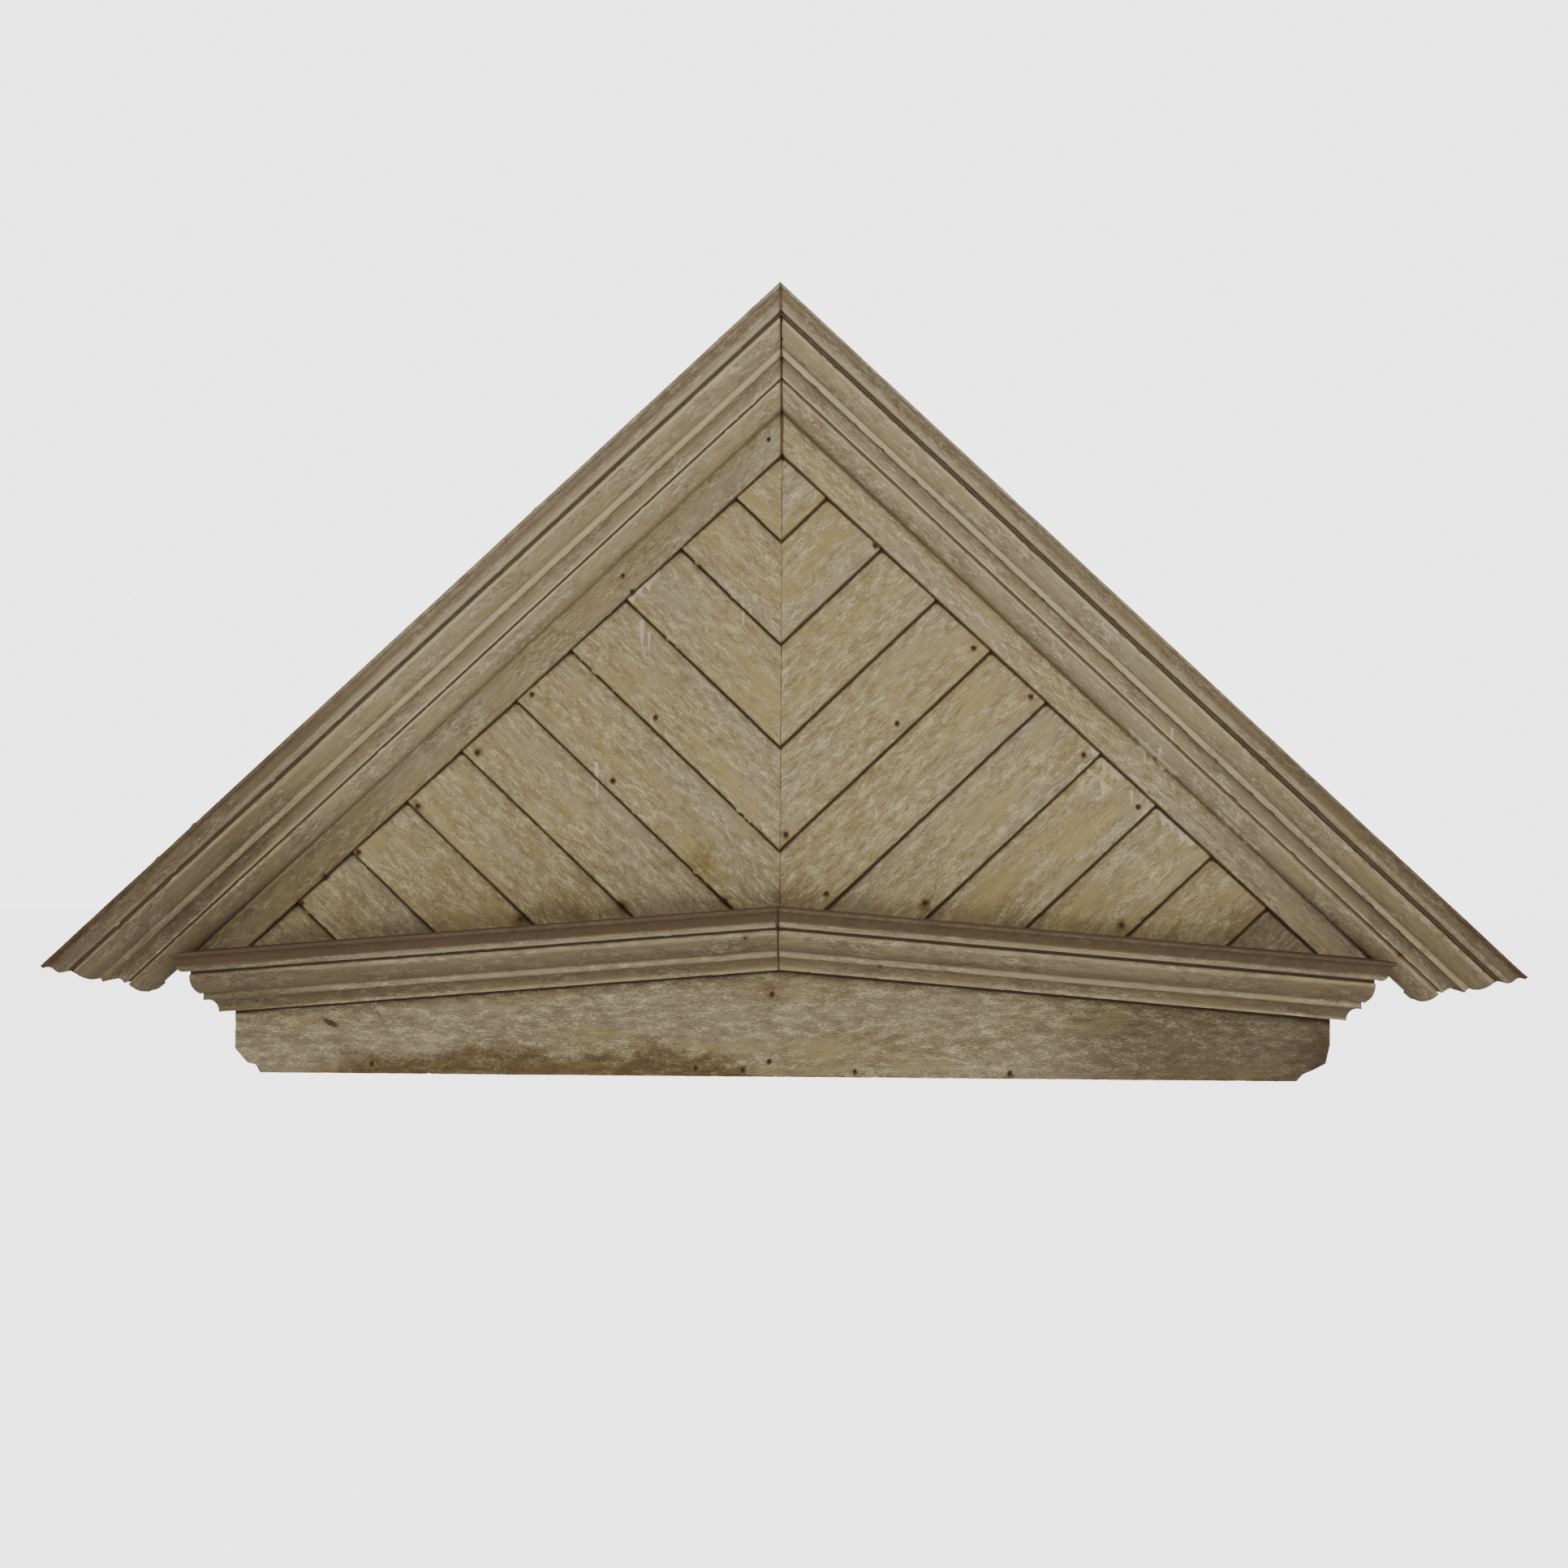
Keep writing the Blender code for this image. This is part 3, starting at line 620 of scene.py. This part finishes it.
def section_mesh(name, corners, fine, coarse):
    """A closed loop of short edges. Its points carry their place and how wear, grime with painted shade, and tone with
    painted highlights and shade gather there.

    A corner is its place across and up and words for what it is. Two numbers more say how far the run's start
    rises there and whether the run stops at the nearer cut."""
    rows = []
    for (x0, y0, kind0, *more0), (x1, y1, kind1, *more1) in zip(corners, corners[1:] + corners[:1]):
        spacing = coarse if "hidden" in (kind0, kind1) else fine
        between = "hidden" if kind0 == kind1 == "hidden" else "face" if "face" in kind0 else ""
        steps = max(1, ceil(hypot(x1 - x0, y1 - y0) / spacing))
        for step in range(steps):
            share = step / steps
            more = [a + (b - a) * share for a, b in zip(more0, more1)] or (0.0, 1.0)
            rows.append((x0 + (x1 - x0) * share, y0 + (y1 - y0) * share, between if step else kind0, share, *more))
    x, y, kinds, shares, rise, stops = zip(*rows)
    girth = np.concatenate([[0], np.cumsum(np.hypot(np.diff(x), np.diff(y)))])

    def near(kind):
        spots = [at for at, words in zip(girth, kinds) if kind in words.split()]
        if not spots:
            return np.zeros(len(rows))
        return np.exp(-(np.abs(girth[:, None] - np.array(spots)[None]).min(1) / REACH[kind]) ** 2)

    shown = np.array([float(words != "hidden") for words in kinds])
    face = np.array([FACE_TONE - FACE_FADE * share if words == "face" else 0.0
                     for words, share in zip(kinds, shares)])
    # The soil mark carries grime and painted shade from groove and line corners; the tone mark carries painted
    # highlights from pale, palest and face corners and painted shade from shade corners
    carried = {"across": x, "up": y, "girth": girth, "shown": shown, "rise": rise, "stops": stops,
               "wear": near("arris") + 0.5 * near("edge") * shown, "soil_and_shade": near("groove") + near("line"),
               "tone": near("pale") + 0.9 * near("palest") - 0.6 * near("shade") + face}
    mesh = bpy.data.meshes.new(name)
    mesh.from_pydata([(*at, 0) for at in zip(x, y)], [(i, (i + 1) % len(rows)) for i in range(len(rows))], [])
    for label, values in carried.items():
        mesh.attributes.new(label, "FLOAT", "POINT").data.foreach_set("value", np.array(values, np.float32))
    return put(name, mesh)


# ---- the pieces
run_tree, weather_tree, nail_tree = run_between_cuts(), weathering(), nail_heads()
made = {}
SIDE_NAME = {-1: "left", 1: "right"}


def build(node, slot, corners, origin, axes, start, end, other_end=None, length=1.5, seed=0, ragged=0.0,
          square=0.0, fine=FINE, coarse=COARSE, **weather):
    """One piece of the pediment, from its section and its saw cuts, in place of its CAD node."""
    piece = section_mesh(node + "_aged", corners, fine, coarse)
    other = other_end or end
    fit_tree(piece, run_tree, Stations=max(4, int(length / STATION)), Origin=origin, Along=axes[0], Across=axes[1],
             Up=axes[2], Start_Point=start[0], Start_Normal=start[1], End_Point=end[0], End_Normal=end[1],
             Other_End_Point=other[0], Other_End_Normal=other[1], Ragged_Ends=ragged,
             Grain_Offset=Vector((seed * 3.17, seed * 1.43, seed * 2.71)), Grain_Square_To_Run=square)
    fit_tree(piece, weather_tree, Material=FINISH[slot], Seed=float(seed), **{**WEATHER, **weather})
    made[node] = (plain_mesh(piece), slot)
    return made[node][0].data


def falling(side, slope):
    """The way down a slope from the middle, and the way square to it, up."""
    return Vector((side * cos(slope), 0, -sin(slope))), Vector((side * sin(slope), 0, cos(slope)))


def middle_cut(side, past):
    """An upright cut, so far short of the middle."""
    return Vector((side * past, 0, 0)), Vector((-side, 0, 0))


def build_mouldings(prefix, side, start, slope, length, end_slope, projection, board, kinds, joint, seeds):
    """The stack on one side of the middle, and its returns, mitred at the end."""
    (along, up), (end, end_up) = falling(side, slope), falling(side, end_slope)
    face = OUT * (board + GAP)
    corner = start + along * length + face
    mitre = (end - OUT).normalized()
    low = prefix == "cornice"
    stack = Stack(projection, low)
    for kind in kinds:
        slot = "crown" if kind == "crown" else "moulding"
        corners = getattr(stack, kind)()
        seed = seeds + len(made) * 1.7
        weather = dict(Chip_Depth=0.0036, Chip_Share=0.545) if kind == "ovolo" and side > 0 else {}
        if low:
            weather = dict(Arris_Wear=0.0007, Chip_Depth=0.0012)
        cut = joint - CROWN_OVERLAP if kind == "crown" and not low else joint
        build(f"{prefix}_{kind}_{SIDE_NAME[side]}", slot, corners, start + face, (along, OUT, up),
              middle_cut(side, cut), (corner, mitre), length=length, seed=seed,
              ragged=0.0003 if low else 0.0010, **weather)
        turned = []
        for out, rise, words in corners:
            reach = (out - rise * up.dot(end)) / along.dot(end)
            turned.append((out, reach * along.dot(end_up) + rise * up.dot(end_up), words))
        build(f"{prefix}_{kind}_return_{SIDE_NAME[side]}", slot, turned, start + along * length, (OUT, end, end_up),
              (Vector(), OUT), (corner + mitre * GAP, mitre), length=0.12, seed=seed + 0.5)


def sill_cut(side):
    return Vector((0, 0, SILL_TOP - TUCK)), Vector((-side * sin(CORNICE_SLOPE), 0, -cos(CORNICE_SLOPE)))


def build_raking_board(side):
    """The board behind the raking mouldings. Its inner strip stops on the lower cornice."""
    along, up = falling(side, RAKE_PITCH)
    notch = Stack(RAKE_PROJECTION).bed_foot + 0.002
    step, shadow, arris, back_arris = 0.001, 0.0028, 0.0015, 0.004
    # A painted highlight on the board just under the bed's foot, where the bed casts shade
    strip = [(0, 0, "hidden", 0, 0), (RAKE_BOARD, 0, "hidden", 0, 0), (RAKE_BOARD, notch + step, "hidden", 0, 0),
             (RAKE_BOARD, notch, "", 0, 1), (RAKE_BOARD, notch - shadow, "pale", 0, 1),
             (RAKE_BOARD, -RAKE_FACE + arris, "", 0, 1), (RAKE_BOARD - arris, -RAKE_FACE, "arris", 0, 1),
             (back_arris, -RAKE_FACE, "", 0, 1), (0, -RAKE_FACE, "hidden", 0, 1), (0, notch, "hidden", 0, 1),
             (0, notch + step, "hidden", 0, 0)]
    end = APEX + along * (RAKE_LENGTH - RAKE_PROJECTION - GAP)
    mesh = build(f"rake_board_{SIDE_NAME[side]}", "raking_board", strip, APEX, (along, OUT, up),
                 middle_cut(side, -BOARD_MITRE), (end, along), sill_cut(side), length=RAKE_LENGTH, seed=50 + side,
                 Chip_Depth=0.0016)
    close_ends(mesh, up)


def build_clapboards(side):
    """The lapped field. Each board is a wedge that leans on the one below, and runs down to the middle."""
    inward = Vector((-side * cos(SEAM_ANGLE), 0, -sin(SEAM_ANGLE)))
    down = Vector((side * sin(SEAM_ANGLE), 0, -cos(SEAM_ANGLE)))
    rake_cut = (FIELD_TOP + Vector((0, 0, TUCK)), falling(side, RAKE_PITCH)[1])
    field_half = (FIELD_TOP.z - SILL_TOP) / (tan(RAKE_PITCH) - tan(CORNICE_SLOPE))
    field_depth = Vector((side * field_half, 0, -field_half * tan(RAKE_PITCH))).dot(down)
    width = EXPOSURE + LAP
    lift = THIN_EDGE + (LAP / width * BUTT_EDGE + GAP) / (1 - LAP / width)
    arris = 0.002
    first_seed = 70 if side > 0 else 90
    corner_board = 5      # it turns the corner of the lower cornice, so its end isn't in one plane

    def back(x):
        return lift * x / width

    def front(x):
        return THIN_EDGE + (lift + BUTT_EDGE - THIN_EDGE) * x / width

    for number in range(1, BOARDS + 1):
        shift = FIRST_EXPOSURE + (number - 1) * EXPOSURE - width
        first, last = max(-0.0015 - shift, 0), min(field_depth + 0.001 - shift, width)
        seen = max(first + 0.001, LAP)
        # The groove where the seen face starts, just under the upper board's butt, paints a shadow line there
        wedge = [(first, back(first), "hidden"), (last, back(last), "hidden"), (last, back(last) + 0.003, ""),
                 (last, front(last) - arris, "arris"), (last - arris, front(last), "arris"),
                 (seen, front(seen), "groove"), (first, front(first), "hidden")]
        longest = max(field_half * 2 * cos(SEAM_ANGLE) * (1 - abs(number - 4) / 9), 0.12)
        mesh = build(f"clapboard_{SIDE_NAME[side]}_{number:02d}", "clapboard", wedge, FIELD_TOP + down * shift,
                     (inward, down, OUT), rake_cut, middle_cut(side, -CENTRE_OVERLAP), sill_cut(side),
                     length=min(longest, 0.8), seed=number * 2.3 + first_seed, ragged=0.0018, fine=0.003,
                     coarse=0.003 if number == corner_board else COARSE,
                     Warp=0.0022, Arris_Wear=0.0016, Chip_Depth=0.003)
        if number == corner_board:
            close_ends(mesh, down)


def build_base_board():
    """Swept upward from its broken foot to its shallow gable."""
    foot = [(-HALF_BASE + inset, rise) for inset, rise in reversed(BREAK_LEFT)]
    foot += [(HALF_BASE - inset, rise) for inset, rise in BREAK_RIGHT]
    plan = [(-HALF_BASE, 0.0, "hidden", LEFT_END_RISE, 1), (-HALF_BASE, BASE_BOARD, "edge", LEFT_END_RISE, 1)]
    plan += [(x, BASE_BOARD, "", rise, 1) for x, rise in foot]
    plan += [(HALF_BASE, BASE_BOARD, "edge", RIGHT_END_RISE, 1), (HALF_BASE, 0.0, "hidden", RIGHT_END_RISE, 1)]
    plan += [(x, 0.0, "hidden", rise, 1) for x, rise in reversed(foot)]
    gable = [(Vector((0, 0, BASE_TOP)), falling(side, CORNICE_SLOPE)[1]) for side in (-1, 1)]
    across, up = Vector((1, 0, 0)), Vector((0, 0, 1))
    mesh = build("base_board", "base_board", plan, Vector(), (up, across, OUT), (up * -BASE_TOP, up),
                 *gable, length=BASE_HEIGHT, seed=5.0, ragged=0.0016, square=1.0, fine=0.0032,
                 Warp=0.0018, Chip_Depth=0.003)
    close_ends(mesh, across)


for side in (-1, 1):
    build_mouldings("rake", side, APEX, RAKE_PITCH, RAKE_LENGTH - RAKE_PROJECTION, RAKE_PITCH, RAKE_PROJECTION,
                    RAKE_BOARD, ("crown", "ovolo", "cove", "bed"), APEX_JOINT, 10 + side)
    build_mouldings("cornice", side, Vector((0, 0, BASE_TOP)), CORNICE_SLOPE, (HALF_BASE + GAP) / cos(CORNICE_SLOPE),
                    0, CORNICE_PROJECTION, BASE_BOARD, ("crown", "ovolo", "cove"), CORNICE_JOINT / 2, 30 + side)
    build_raking_board(side)
    build_clapboards(side)
build_base_board()

# ---- marks by place
# Nails seen on the boards, the frieze, the base board and the mouldings: x, z and the rust's reach in mm
NAILS = (
    (-0.243, 0.651, 5), (-0.407, 0.483, 5), (-0.496, 0.387, 8), (-0.593, 0.299, 9), (-0.690, 0.223, 7),
    (-0.783, 0.139, 7), (-0.204, 0.446, 4), (-0.273, 0.342, 5), (0.010, 0.256, 5), (-0.089, 0.147, 5),
    (-0.256, 0.139, 7), (-0.425, 0.114, 7), (0.076, 0.160, 4), (0.153, 0.727, 5), (0.314, 0.561, 5),
    (0.190, 0.438, 4), (0.407, 0.482, 5), (0.493, 0.388, 6), (0.581, 0.304, 5), (0.237, 0.146, 6),
    (0.555, 0.112, 6), (-0.258, 0.677, 5), (-0.745, 0.183, 5), (-0.021, 0.900, 4), (-0.011, -0.004, 15),
    (-0.015, -0.113, 6), (-0.058, -0.127, 4), (0.124, -0.128, 4), (-0.665, -0.122, 6), (-0.135, -0.125, 7),
    (0.375, -0.129, 4), (-0.052, 0.090, 5), (0.164, 0.045, 4), (0.995, 0.069, 6))
# Runs of pale paint: x and z of the upper end, length, width
RUNS = (
    (-0.062, 0.632, 0.034, 0.006), (-0.050, 0.626, 0.022, 0.005), (-0.300, 0.372, 0.058, 0.009),
    (0.030, 1.058, 0.030, 0.004), (0.486, 0.372, 0.030, 0.006), (0.525, 0.345, 0.030, 0.006),
    (0.571, 0.330, 0.022, 0.007), (0.591, 0.408, 0.035, 0.007), (0.612, 0.400, 0.025, 0.006),
    (0.630, 0.432, 0.030, 0.006), (-0.228, 0.606, 0.040, 0.010), (-0.216, 0.586, 0.030, 0.006),
    (0.157, 0.300, 0.040, 0.005))
# Curtains of thin pale paint: x and z of the two ends of their upper edge, and their depth
CURTAINS = (
    (0.560, 0.432, 0.650, 0.348, 0.022), (0.700, 0.302, 0.780, 0.228, 0.016), (0.500, 0.405, 0.560, 0.349, 0.034),
    (0.600, 0.312, 0.680, 0.238, 0.028), (0.486, 0.380, 0.545, 0.326, 0.022),
    (-0.262, 0.630, -0.190, 0.697, 0.030))
FRINGE = (0, 0.6, 0.3, 0.95, 0.4, 0.75, 0.2, 1.0, 0.45, 0.6, 0.25, 0)      # a curtain's depth along its edge
# Single spots: slot, mark, strength, x, z, reach in x and in z, and how far each leans with the other
SPOTS = (
    ("clapboard", "stain", 0.60, -0.125, 0.215, 0.035, 0.050, 0, 0),
    ("clapboard", "stain", 0.35, -0.345, 0.145, 0.060, 0.030, 0, 0),
    ("clapboard", "stain", 0.35, 0.447, 0.350, 0.030, 0.050, 0, 0),
    # Painted shade in the field's lower right corner, under the eave
    ("clapboard", "tone", -0.70, 0.790, 0.107, 0.070, 0.045, 0, 0),
    ("base_board", "soil_and_shade", 1.20, -0.734, -0.056, 0.014, 0.0050, 0, 0.45),
    ("base_board", "soil_and_shade", 0.70, -0.649, -0.050, 0.0026, 0.016, 0.6, 0),
    ("base_board", "soil_and_shade", 0.60, -0.664, -0.042, 0.012, 0.0028, 0, 0))
FRONT = -0.0035      # marks lie only before this depth
BACK_SOIL, BACK_TONE = -0.1, -0.12


def band(value, low, high):
    """Rises smoothly from 0 at low to 1 at high, whichever of them is the larger."""
    share = np.clip((value - low) / (high - low), 0, 1)
    return share * share * (3 - 2 * share)


def line(distance, reach):
    return np.exp(-(distance / reach) ** 2)


def mark_clapboards(at, x, z):
    """Damp over the lower cornice and by the middle, and a painted shadow along the raking boards' inner edge."""
    wide = np.abs(x)
    over_sill = z - SILL_TOP + wide * tan(CORNICE_SLOPE)
    off_rake = (FIELD_TOP.z - z - wide * tan(RAKE_PITCH)) * cos(RAKE_PITCH)
    at["stain"] += 0.35 * band(over_sill, 0.05, 0.0) + 0.3 * band(wide, 0.03, 0.0) * band(z, 0.62, 0.3)
    at["tone"] -= 0.05 + 0.40 * band(over_sill, 0.04, 0.0) + 0.26 * band(over_sill, 0.16, 0.0)
    at["tone"] -= 0.14 * band(x, 0.02, -0.2)
    # Painted shadow of the raking boards' inner edge on the field
    at["soil_and_shade"] += line(off_rake, 0.0042)


def mark_raking_boards(at, x, z):
    """Darker towards the eaves and on the left, with a dirty joint at the apex."""
    at["tone"] -= 0.04 + 0.46 * band(np.abs(x), 0.56, 0.82) + 0.42 * band(x, 0.05, -0.1)
    at["soil_and_shade"] += line(x, 0.0036)


def mark_base_board(at, x, z):
    """A painted shadow under the cove, grime at the ends, shade on the right and damp along the foot."""
    wide = np.abs(x)
    shadow_height = 0.0357
    under_cove = shadow_height - wide * tan(CORNICE_SLOPE) - z
    # Painted shadow just under the cove's foot, and grime towards the ends
    at["soil_and_shade"] += 1.1 * line(under_cove, 0.0046) + 0.25 * band(wide, 0.8, 0.88)
    at["soil_and_shade"] += 0.35 * band(x, 0.35, 0.7) * band(z, -0.02, -0.09)
    at["tone"] -= 0.10 + 0.75 * band(x, 0.35, 0.6) * band(z, 0.02, -0.05)
    waves = 0.009 * np.sin(x * 23) + 0.005 * np.sin(x * 61 + 1)
    damp = band(waves - z, 0.074, 0.116) * band(x, 0.0, -0.12) * band(x, -0.80, -0.66)
    at["tone"] -= 0.25 * damp
    at["stain"] += 0.70 * damp + 0.4 * band(z, -0.12, -0.139)


def mark_mouldings(at, x, up, slot, low):
    """Darker towards the eaves, with a dirty joint in the middle. The lower cornice is grimy, its crown most."""
    wide = np.abs(x)
    at["tone"] -= 0.04 + 0.46 * band(wide, 0.55, 0.95) + 0.22 * band(x, 0.9, 1.1)
    at["tone"] -= 0.62 * band(x, -0.6, -1.05) + 0.35 * band(x, -0.75, -1.08)
    at["stain"] += 0.35 * band(wide, 1.0, 1.16)
    at["soil_and_shade"] += line(x, 0.0022 if low else 0.0042)
    if slot == "crown":
        at["stain"] += (0.34 + 0.2 * band(wide, 0.3, 0.9)) * band(up, -0.015, -0.002)
    if low and slot == "crown":
        at["soil_and_shade"] += 0.98 - 0.66 * band(up, -0.019, -0.0255) - 0.10 * (x > 0)
        at["tone"] -= 0.30
    elif low:
        at["soil_and_shade"] += 0.12 - 0.1 * (x > 0)
        at["tone"] -= 0.50 + 0.18 * (x < 0)


def mark_anywhere(at, x, z, slot):
    """Spots, curtains and runs of pale paint and rust, wherever they lie."""
    for where, mark, strength, spot_x, spot_z, reach_x, reach_z, lean_x, lean_z in SPOTS:
        if where == slot:
            across = (x - spot_x + lean_x * (z - spot_z)) / reach_x
            down = (z - spot_z + lean_z * (x - spot_x)) / reach_z
            at[mark] += strength * np.exp(-across ** 2 - down ** 2)
    for start_x, start_z, end_x, end_z, deep in CURTAINS:
        edge = start_z + (x - start_x) / (end_x - start_x) * (end_z - start_z) + 0.002
        jagged = np.interp(x, np.linspace(start_x, end_x, len(FRINGE)), FRINGE, left=0, right=0) * deep
        inside = (z < edge) * (x > start_x) * (x < end_x)
        at["lime"] += 0.62 * np.clip((jagged - (edge - z)) / 0.009 + 0.5, 0, 1) * inside
    for nail_x, nail_z, rust in NAILS:
        rise = z - nail_z
        away = np.hypot(x - nail_x, np.where(rise < 0, rise * 0.7, rise)) * 1000      # rust runs down
        at["soil_and_shade"] += 1.7 * line(away, 3.5)
        at["stain"] += 0.75 * line(away, rust * 1.5)
    for run_x, run_z, length, width in RUNS:
        below = (run_z - z) / length
        taper = np.clip(1.15 - below * 0.7, 0.2, 1) * width / 2
        at["lime"] += 0.9 * line(x - run_x, taper) * (below > 0) * (below < 1)


def mark_places():
    """Writes soil, tone, stain and lime on every piece, by where its points lie on the front. Soil and tone carry
    painted shadow and shade as well as grime and darkening.
    """
    for node, (piece, slot) in made.items():
        mesh = piece.data
        count = len(mesh.vertices)
        place = np.empty(count * 3, np.float32)
        mesh.vertices.foreach_get("co", place)
        x, y, z = place.reshape(-1, 3).T
        at = {"stain": np.zeros(count), "lime": np.zeros(count)}
        for name in ("soil_and_shade", "tone", "up"):
            at[name] = np.empty(count, np.float32)
            mesh.attributes[name].data.foreach_get("value", at[name])
        up = at.pop("up")
        if slot == "clapboard":
            mark_clapboards(at, x, z)
        elif slot == "raking_board":
            mark_raking_boards(at, x, z)
        elif slot == "base_board":
            mark_base_board(at, x, z)
        else:
            mark_mouldings(at, x, up, slot, node.startswith("cornice"))
        mark_anywhere(at, x, z, slot)
        for name, behind in (("soil_and_shade", BACK_SOIL), ("tone", BACK_TONE), ("stain", 0.0), ("lime", 0.0)):
            if name not in mesh.attributes:
                mesh.attributes.new(name, "FLOAT", "POINT")
            values = np.where(y < FRONT, at[name], behind).astype(np.float32)
            mesh.attributes[name].data.foreach_set("value", values)


def drive_nails():
    """Heads set on whatever face lies in front at each nail."""
    state = bpy.context.evaluated_depsgraph_get()
    faces = [BVHTree.FromObject(piece, state) for piece, slot in made.values()]
    spots, ways = [], []
    for x, z, rust in NAILS:
        hits = [tree.ray_cast(Vector((x, -1, z)), Vector((0, 1, 0))) for tree in faces]
        place, way = min(((hit[0], hit[1]) for hit in hits if hit[0]), key=lambda hit: hit[0].y)
        spots.append(place)
        ways.append(way if way.y < 0 else -way)
    mesh = bpy.data.meshes.new("nails")
    mesh.from_pydata(spots, [], [])
    facing = mesh.attributes.new("facing", "FLOAT_VECTOR", "POINT")
    facing.data.foreach_set("vector", np.array(ways, np.float32).ravel())
    nails = put("nails", mesh)
    fit_tree(nails, nail_tree, Material=rusted_iron(), Head_Radius=0.0022, Seed=3)
    return plain_mesh(nails)


mark_places()
nails = drive_nails()
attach(nails, "root")

for node, (piece, slot) in made.items():
    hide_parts(node)
    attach(piece, "root")


# ---- room, light and camera
def pale_floor():
    """A pale floor under the pediment, which looks as bright as the room's walls."""
    size, low = 30.0, -1.25
    mesh = bpy.data.meshes.new("studio_floor")
    corners = [(-size, -size, low), (size, -size, low), (size, size, low), (-size, size, low)]
    mesh.from_pydata(corners, [], [(0, 1, 2, 3)])
    floor = put("studio_floor", mesh)
    material, tree, shader = new_material("pale studio floor")
    shader.inputs["Base Color"].default_value = (0.85, 0.85, 0.85, 1)
    shader.inputs["Roughness"].default_value = 0.9
    shader.inputs["Emission Color"].default_value = (1, 1, 1, 1)
    seen = add(tree, "ShaderNodeLightPath").outputs["Is Camera Ray"]
    tree.links.new(times(tree, seen, 2.6), shader.inputs["Emission Strength"])
    mesh.materials.append(material)


def soft_walls():
    """Even light from all round. The walls themselves look near white."""
    world = bpy.data.worlds.new("studio")
    bpy.context.scene.world = world
    world.use_nodes = True
    tree = world.node_tree
    walls = tree.nodes["Background"]
    walls.inputs["Color"].default_value = (1, 1, 1, 1)
    seen = add(tree, "ShaderNodeLightPath").outputs["Is Camera Ray"]
    tree.links.new(ramp(tree, seen, 0.0, 1.0, 0.85, 3.6), walls.inputs["Strength"])


def area_light(name, place, target, size, power):
    lamp = bpy.data.lights.new(name, "AREA")
    lamp.shape, lamp.size, lamp.energy = "DISK", size, power
    light = put(name, lamp)
    light.location = place
    light.rotation_euler = (Vector(target) - Vector(place)).to_track_quat("-Z", "Y").to_euler()


def photo_camera():
    """The camera's place, turn and lens, fitted to the photograph."""
    place, lens_length, sensor = (0.12043, -3.7561, 0.2965), 52.685, 36
    yaw, pitch, roll = radians(1.7463), radians(90.6342), radians(0.2968)
    lens = bpy.data.cameras.new("photo_camera")
    camera = put("photo_camera", lens)
    lens.sensor_width, lens.lens = sensor, lens_length
    lens.clip_start, lens.clip_end = 0.05, 60
    turned = Matrix.Rotation(yaw, 4, "Z") @ Matrix.Rotation(pitch, 4, "X") @ Matrix.Rotation(roll, 4, "Z")
    camera.matrix_world = Matrix.Translation(place) @ turned
    return camera


pale_floor()
soft_walls()
area_light("key_light", (-0.9, -4.4, 2.9), (0, 0, 0.45), 2.4, 118)
area_light("fill_light", (2.6, -4.2, 1.4), (0, 0, 0.4), 3.0, 78)
bpy.context.scene.camera = photo_camera()
